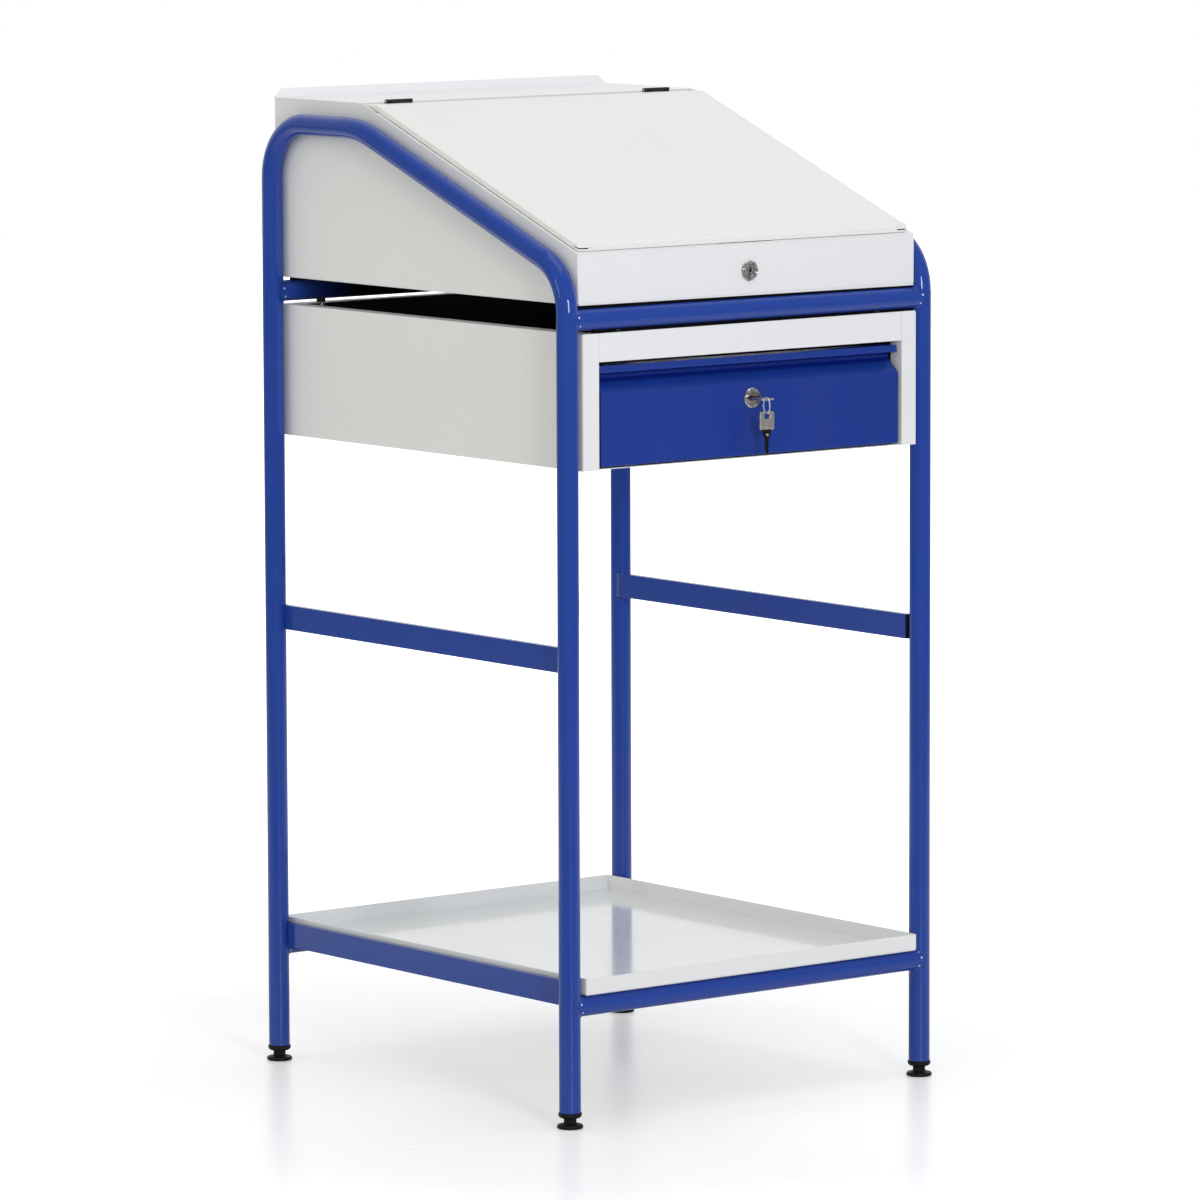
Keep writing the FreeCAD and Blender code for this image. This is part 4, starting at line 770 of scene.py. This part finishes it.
def buildKey(name, body, place, collar, collarNarrow):
    look = keyLook
    half, start, end = look["bowWide"] / 2, look["bow"], look["bow"] + collar
    rounding = look["bowRound"]
    outline = softened([(-half, 0, rounding), (half, 0, rounding), (half, start, rounding * 0.5),
                        (-half, start, rounding * 0.5)], True, 7)
    mesh = bmesh.new()
    plate(mesh, place, [outline, circlePoints(look["web"] + look["hole"], look["hole"], 36)],
          -look["bowThick"] / 2, look["bowThick"] / 2)
    eased(mesh, look["rim"], 3)
    newPiece(name + "_plate", mesh, "keyNickel", body, (name + "_bow",))
    wide, narrow, foot = look["collarWide"] / 2, collarNarrow / 2, start + 0.02 * mm
    mesh = bmesh.new()
    boot = softened([(-wide, foot, 0.8 * mm), (wide, foot, 0.8 * mm), (narrow, end, 1.6 * mm),
                     (-narrow, end, 1.6 * mm)], True, 5)
    plate(mesh, place, [boot], -look["collarThick"] / 2, look["collarThick"] / 2)
    eased(mesh, look["collarEdge"], 3)
    newPiece(name + "_boot", mesh, "footBlack", body)
    mesh = bmesh.new()
    keyRivets(mesh, place, start + collar * 0.62)
    newPiece(name + "_rivets", mesh, "lockChrome", body)
    mesh = bmesh.new()
    keyBlade(mesh, place, end)
    newPiece(name + "_steel", mesh, "keyDark", body, (name + "_blade",))


def buildKeyRing():
    look = {"wire": 0.46 * mm, "inset": 0.65 * mm, "turns": 2.15, "start": 0.3, "gap": 0.5 * mm, "yaw": -18,
            "sides": 10, "steps": 150, "cross": 5, "taper": 14, "tip": 0.35}
    low, high, middle = boxOf("key_ring")
    radius = (high.z - low.z) / 2 - look["inset"]
    yaw = math.radians(look["yaw"])
    axis = Vector((math.cos(yaw), math.sin(yaw), 0))
    side = Vector((-math.sin(yaw), math.cos(yaw), 0))
    mesh = bmesh.new()
    rings = []
    for i in range(look["steps"] + 1):
        share = i / look["steps"]
        turn = 2 * math.pi * (look["turns"] * share + look["start"])
        out = side * math.cos(turn) + Vector((0, 0, math.sin(turn)))
        shift = look["gap"] * max(-1, min(1, (share - 0.5) * look["cross"]))
        spot = middle + out * radius + axis * shift
        thick = look["wire"] * min(1, look["tip"] + look["taper"] * min(share, 1 - share))
        rings.append([mesh.verts.new(spot + out * thick * math.cos(part) + axis * thick * math.sin(part))
                      for part in (2 * math.pi * k / look["sides"] for k in range(look["sides"]))])
    capped(mesh, rings)
    newPiece("split_ring", mesh, "ringSteel", "key_ring", ("key_ring",))


def buildKeys():
    low, _, middle = boxOf("drawer_key_bow")
    flat = frameAt((middle.x, low.y, middle.z), (1, 0, 0), (0, 1, 0))
    buildKey("drawer_key", "drawer_lock", flat, 5.8 * mm, 9.0 * mm)
    _, high, middle = boxOf("spare_key_bow")
    yaw = math.radians(-keyLook["spareYaw"])
    hang = frameAt((middle.x, middle.y, high.z), (math.cos(yaw), math.sin(yaw), 0), (0, 0, -1))
    buildKey("spare_key", "spare_key", hang, 9.4 * mm, 6.0 * mm)
    buildKeyRing()
    print("locks and keys built")


# black strips on the upper rails, painted shade in the gaps under the desk box and above the cabinet, and
# thin hems beside them; a section's points are (y, z, share of the growth) and run along x
def strip(mesh, section, left, right, growLeft=0.0, growRight=0.0):
    capped(mesh, [[mesh.verts.new((x, y, z + share * grow)) for y, z, share in section]
                  for x, grow in ((left, growLeft), (right, growRight))])


# one side follows a round rail; face and edge are the heights of the flat side and its two long edges
def shadeStripSection(railY, steps, way, face, edge):
    rail = boxOf("upper_cross_rail_front")
    gap, cut = 0.05 * mm, 0.4 * mm
    radius = (rail[1].z - rail[0].z) / 2 + gap
    start, end = railY + steps[0], railY + steps[-1]
    curve = [(railY + step, rail[2].z + way * math.sqrt(radius ** 2 - step ** 2), 0) for step in steps]
    return curve + [(end, edge, 0), (end - cut, face, 0), (start + cut, face, 0), (start, edge, 0)]


def hemSection(front, face, way):
    thick, tall, cut, edge = 1.0 * mm, 0.8 * mm, 0.25 * mm, way * 0.8
    back, root = front + thick, face - way * tall
    return [(front, root, 0), (front, face, edge), (front + cut, face, way), (back - cut, face, way),
            (back, face, edge), (back, root, 0)]


def buildStrips():
    look = {"seat": (-2.9, -2, -1, 0, 1, 2, 2.9), "shadeBelowRail": (-4.6, -3.4, -2, -0.7, 0.7, 2, 3.4),
            "frontInset": 3 * mm, "rearInset": 13.5 * mm, "shadeBelowRailLeft": 22 * mm, "shadeBelowRailRight": 1 * mm,
            "gap": 0.05 * mm, "edge": 0.4 * mm, "shadeBelowRailEdge": 0.5 * mm}
    shellLow, shellHigh, _ = boxOf("desk_box_shell")
    top = cabinetHigh.z
    seat, shadeBelowRail = ([step * mm for step in look[key]] for key in ("seat", "shadeBelowRail"))
    mesh = bmesh.new()
    # black strips under the desk box on both upper rails, and one above the cabinet under the front rail:
    # painted shade in the gaps
    for end, inset in (("front", look["frontInset"]), ("rear", look["rearInset"])):
        railY = boxOf("upper_cross_rail_" + end)[2].y
        strip(mesh, shadeStripSection(railY, seat, 1, shellLow.z, shellLow.z - look["edge"]),
              shellLow.x + inset, shellHigh.x - inset)
    railY = boxOf("upper_cross_rail_front")[2].y
    strip(mesh, shadeStripSection(railY, shadeBelowRail, -1, top + look["gap"], top + look["shadeBelowRailEdge"]),
          cabinetLow.x + look["shadeBelowRailLeft"], cabinetHigh.x - look["shadeBelowRailRight"])
    newPiece("rail_shade_strips", mesh, "paintedShadeBlack", "frame")

    hems = {"shellInset": 1.2 * mm, "shellStep": 0.06 * mm, "shellGrow": (0.15 * mm, 1.9 * mm),
            "cabinetStep": 0.2 * mm, "cabinetLeft": 2 * mm, "cabinetRight": 2.2 * mm,
            "cabinetGrow": (0.1 * mm, 1.6 * mm)}
    mesh = bmesh.new()
    strip(mesh, hemSection(shellLow.y + hems["shellStep"], shellLow.z, -1),
          shellLow.x + hems["shellInset"], shellHigh.x - hems["shellInset"], *hems["shellGrow"])
    strip(mesh, hemSection(cabinetLow.y + hems["cabinetStep"], top, 1),
          cabinetLow.x + hems["cabinetLeft"], cabinetHigh.x - hems["cabinetRight"], *hems["cabinetGrow"])
    newPiece("rail_hems", mesh, "boxGrey", "frame")


# the lid's rounded front corners with black backs behind their slits, and black strips under its sides, both
# black as painted shade; rise is the slope of the lid's rim
lidLook = {"run": 8.3 * mm, "reach": 17.8 * mm, "round": 6.0 * mm, "rise": 0.379, "top": 6.85 * mm,
           "sheet": 3.1 * mm, "slit": 1.5 * mm, "steps": 10, "wall": 1.0 * mm, "wallInset": 0.3 * mm,
           "backInset": 2.0 * mm, "backFoot": 0.3 * mm, "backGap": 0.02 * mm}


def cornerOutline(side, inset):
    low, high, _ = boxOf("lid")
    look = lidLook
    reach, middleX, middleY = look["round"] - inset, high.x - look["round"], low.y + look["round"]
    points = [(side * (high.x - inset), low.y + look["run"])]
    for k in range(look["steps"] + 1):
        turn = math.pi / 2 * k / look["steps"]
        points.append((side * (middleX + reach * math.cos(turn)), middleY - reach * math.sin(turn)))
    points.append((side * (high.x - look["reach"]), low.y + inset))
    return points


def cornerWall(mesh, side, inset, foot, head):
    low = boxOf("lid")[0]
    rings = []
    for outside, inside in zip(cornerOutline(side, inset), cornerOutline(side, inset + lidLook["wall"])):
        base = low.z + lidLook["rise"] * (outside[1] - low.y)
        rings.append([mesh.verts.new((x, y, base + rise)) for (x, y), rise in (
            (outside, foot), (outside, head), (inside, head), (inside, foot))])
    capped(mesh, rings)


def cornerFlap(mesh, side):
    low = boxOf("lid")[0]
    rims = []
    for height in (lidLook["top"], lidLook["top"] - lidLook["sheet"]):
        rims.append([mesh.verts.new((x, y, low.z + height + lidLook["rise"] * (y - low.y)))
                     for x, y in cornerOutline(side, 0)])
    capped(mesh, rims)


def lidShadeStrip(mesh, side):
    look = {"start": 9.5 * mm, "end": 355 * mm, "steps": 8, "rise": 0.3786, "foot": -0.63 * mm,
            "inset": 0.1 * mm, "wide": 1.3 * mm, "edge": 0.42 * mm, "thick": 0.5 * mm}
    low, high, _ = boxOf("lid")
    near, far = side * (high.x - look["inset"]), side * (high.x - look["inset"] - look["wide"])
    edge, middle = look["edge"], (near + far) / 2
    section = ((near, 0), (near, edge), (middle, look["thick"]), (far, edge), (far, 0))
    rings = []
    for k in range(look["steps"] + 1):
        run = look["start"] + (look["end"] - look["start"]) * k / look["steps"]
        foot = low.z + look["rise"] * run + look["foot"]
        rings.append([mesh.verts.new((x, low.y + run, foot + height)) for x, height in section])
    capped(mesh, rings)


def buildLidCorners():
    look = lidLook
    underside = look["top"] - look["sheet"]
    mesh = bmesh.new()
    for side in (-1, 1):
        cornerFlap(mesh, side)
        cornerWall(mesh, side, look["wallInset"], 0, underside - look["slit"])
    newPiece("lid_corners", mesh, "lidGrey", "lid")
    mesh = bmesh.new()
    # black walls behind the corners' slits: painted shade for the dark inside
    for side in (-1, 1):
        cornerWall(mesh, side, look["backInset"], look["backFoot"], underside - look["backGap"])
    newPiece("lid_corner_shade_backs", mesh, "hingeAndShadeBlack", "lid")
    # thin black strips under the lid's sides: painted shade in the gap
    mesh = bmesh.new()
    for side in (-1, 1):
        lidShadeStrip(mesh, side)
    newPiece("lid_side_shade_strips", mesh, "hingeAndShadeBlack", "frame")
    print("strips and lid corners built")


# sizes in mm; profile points are (radius, height, rounding), collar points (height, radius, flute)
footLook = {
    "disc": ((0, 0, 0), (13.4, 0, 0.8), (15.0, 0.9, 0.7), (15.0, 3.6, 0.9), (13.6, 4.7, 0.8),
             (11.9, 4.35, 0.6), (9.4, 5.0, 0.8), (7.6, 6.2, 1.2)),
    "collar": ((6.6, 7.3, 0.0), (6.9, 7.0, 0.32), (11.6, 7.0, 0.32), (11.9, 6.9, 0.0), (12.0, 6.6, 0.0),
               (12.1, 4.9, 0.0)),
    "flutes": 16, "segments": 96, "threadStart": 12.3, "threadEnd": 39, "pitch": 1.5,
    "thread": ((0, 4.95), (0.35, 4.5), (0.75, 4.5), (1.1, 4.95)), "tip": 0.2}
capProfile = ((5.1, 12.5, 0), (11.2, 12.5, 0.4), (13.1, 13.9, 1.0), (13.5, 15.6, 0.8), (13.5, 18.1, 0.35),
              (12.7, 18.6, 0.2), (12.55, 18.45, 0), (10.9, 18.45, 0), (10.8, 42.5, 0.8), (5.1, 43.4, 0))


def buildFoot(name):
    look, node = footLook, "levelling_foot_" + name
    low, _, middle = boxOf(node)
    place = Matrix.Translation((middle.x, middle.y, low.z))
    mesh = bmesh.new()
    outline = [(radius, height, 0.0) for radius, height in softened(look["disc"], False, 4)]
    outline += [(radius, height, flute) for height, radius, flute in look["collar"]]
    height = look["threadStart"]
    while height < look["threadEnd"]:
        outline += [(radius, height + step, 0.0) for step, radius in look["thread"]]
        height += look["pitch"]
    outline.append((0, height + look["tip"], 0.0))
    sides, flutes = look["segments"], look["flutes"]
    joinRings(mesh, [ringAt(mesh, place, radius * mm, height * mm, sides, flute * mm, flutes)
                     for radius, height, flute in outline])
    newPiece(f"foot_{name}_moulding", mesh, "footBlack", "foot_" + name, (node,))


def buildLegCaps():
    profile = scaled(softened(capProfile, False, 4))
    mesh = bmesh.new()
    for side in (-1, 1):
        for legY in (frontLegY, rearLegY):
            turned(mesh, Matrix.Translation((side * legX, legY, 0)), profile, closed=True)
    newPiece("leg_cap_mouldings", mesh, "footBlack", "frame", ("leg_caps",))


def buildFeet():
    for name in ("front_left", "front_right", "rear_left", "rear_right"):
        buildFoot(name)
    buildLegCaps()
    print("feet built")


# glows toward the camera, most far out; dimmer in mirror reflections except far behind the desk
def buildFloor():
    look = {"half": 14, "segments": 96, "bright": 0.8, "mottle": 0.01, "mottleScale": 1.5, "roughScale": 3,
            "rough": (0.26, 0.32), "gloss": 0.25, "lift": 0.26, "near": 0.7, "far": 2.2, "dim": 0.3,
            "mirrored": 0.45, "away": (0.62, 0.785, 0), "across": (0.785, -0.62, 0), "sweep": (-1.4, 0.4),
            "side": (1.5, 4.5)}
    mesh = bmesh.new()
    bmesh.ops.create_circle(mesh, cap_ends=True, segments=look["segments"], radius=look["half"])
    data = bpy.data.meshes.new("floor")
    mesh.to_mesh(data)
    mesh.free()
    ground = addObject("floor", data)
    material, tree, shader, spots = newMaterial("floorPaper")
    mottle = noise(tree, spots, look["mottleScale"], 2)
    tone = rescale(tree, mottle, *span["patch"], look["bright"] - look["mottle"], look["bright"])
    scuffs = noise(tree, spots, look["roughScale"], 2)
    wire(tree, rescale(tree, scuffs, *span["patch"], *look["rough"]), shader.inputs["Roughness"])
    shader.inputs["Specular IOR Level"].default_value = look["gloss"]
    shader.inputs["Emission Color"].default_value = (1, 1, 1, 1)
    distance = addNode(tree, "VectorMath", operation="LENGTH")
    wire(tree, spots, distance.inputs[0])
    spread = rescale(tree, distance.outputs["Value"], look["near"], look["far"], look["lift"], 1)
    path = addNode(tree, "LightPath")
    glossy = path.outputs["Is Glossy Ray"]
    behind = rescale(tree, along(tree, spots, look["away"]), *look["sweep"], 0, 1)
    aside = combine(tree, "ABSOLUTE", along(tree, spots, look["across"]), 0)
    sweep = times(tree, behind, rescale(tree, aside, *look["side"], 1, 0))
    loss = times(tree, glossy, rescale(tree, sweep, 0, 1, 1 - look["dim"], 0))
    tone = times(tree, tone, combine(tree, "SUBTRACT", 1, loss))
    wire(tree, tone, shader.inputs["Base Color"])
    mirrored = times(tree, glossy, times(tree, sweep, look["mirrored"]))
    seen = combine(tree, "MAXIMUM", path.outputs["Is Camera Ray"], mirrored)
    wire(tree, times(tree, seen, spread), shader.inputs["Emission Strength"])
    data.materials.append(material)


# white to the camera; its light is warmer from the left, and reflections see it dark on the near side
def buildWorld():
    look = {"mirrored": 1.0, "room": 0.25, "ambient": 0.76, "away": (0.62, 0.785, 0),
            "left": (1, 0.975, 0.8), "right": (0.97, 0.99, 1.03), "blend": (-0.9, 0.1), "depth": (0.1, 0.7)}
    world = bpy.data.worlds.new("studio")
    bpy.context.scene.world = world
    world.use_nodes = True
    tree = world.node_tree
    background = tree.nodes["Background"]
    across = addNode(tree, "SeparateXYZ")
    coords = addNode(tree, "TexCoord").outputs["Generated"]
    wire(tree, coords, across.inputs["Vector"])
    path = addNode(tree, "LightPath")
    kinds = ("Camera", "Glossy", "Transmission")
    camera, glossy, through = (path.outputs[f"Is {kind} Ray"] for kind in kinds)
    toRight = rescale(tree, across.outputs["X"], *look["blend"], 0, 1)
    tint = mixColour(tree, toRight, look["left"], look["right"])
    colour = mixColour(tree, combine(tree, "MAXIMUM", camera, glossy), tint, (1.0, 1.0, 1.0))
    wire(tree, colour, background.inputs["Color"])
    depth = along(tree, coords, look["away"])
    mirrored = rescale(tree, depth, *look["depth"], look["room"], look["mirrored"])
    gloss = times(tree, glossy, combine(tree, "SUBTRACT", mirrored, look["ambient"]))
    base = combine(tree, "ADD", gloss, look["ambient"])
    seen = combine(tree, "MAXIMUM", camera, through)  # full strength
    wire(tree, combine(tree, "MAXIMUM", base, seen), background.inputs["Strength"])
    bpy.context.scene.view_settings.view_transform = "Standard"


buildCamera()
buildLights()
buildFloor()
buildWorld()
dressNodes()
print("stage and CAD finishes done")
buildWelds()
buildLock("lid_lock", "frame", True)
buildLock("drawer_lock", "drawer", False)
buildKeys()
buildStrips()
buildLidCorners()
buildFeet()
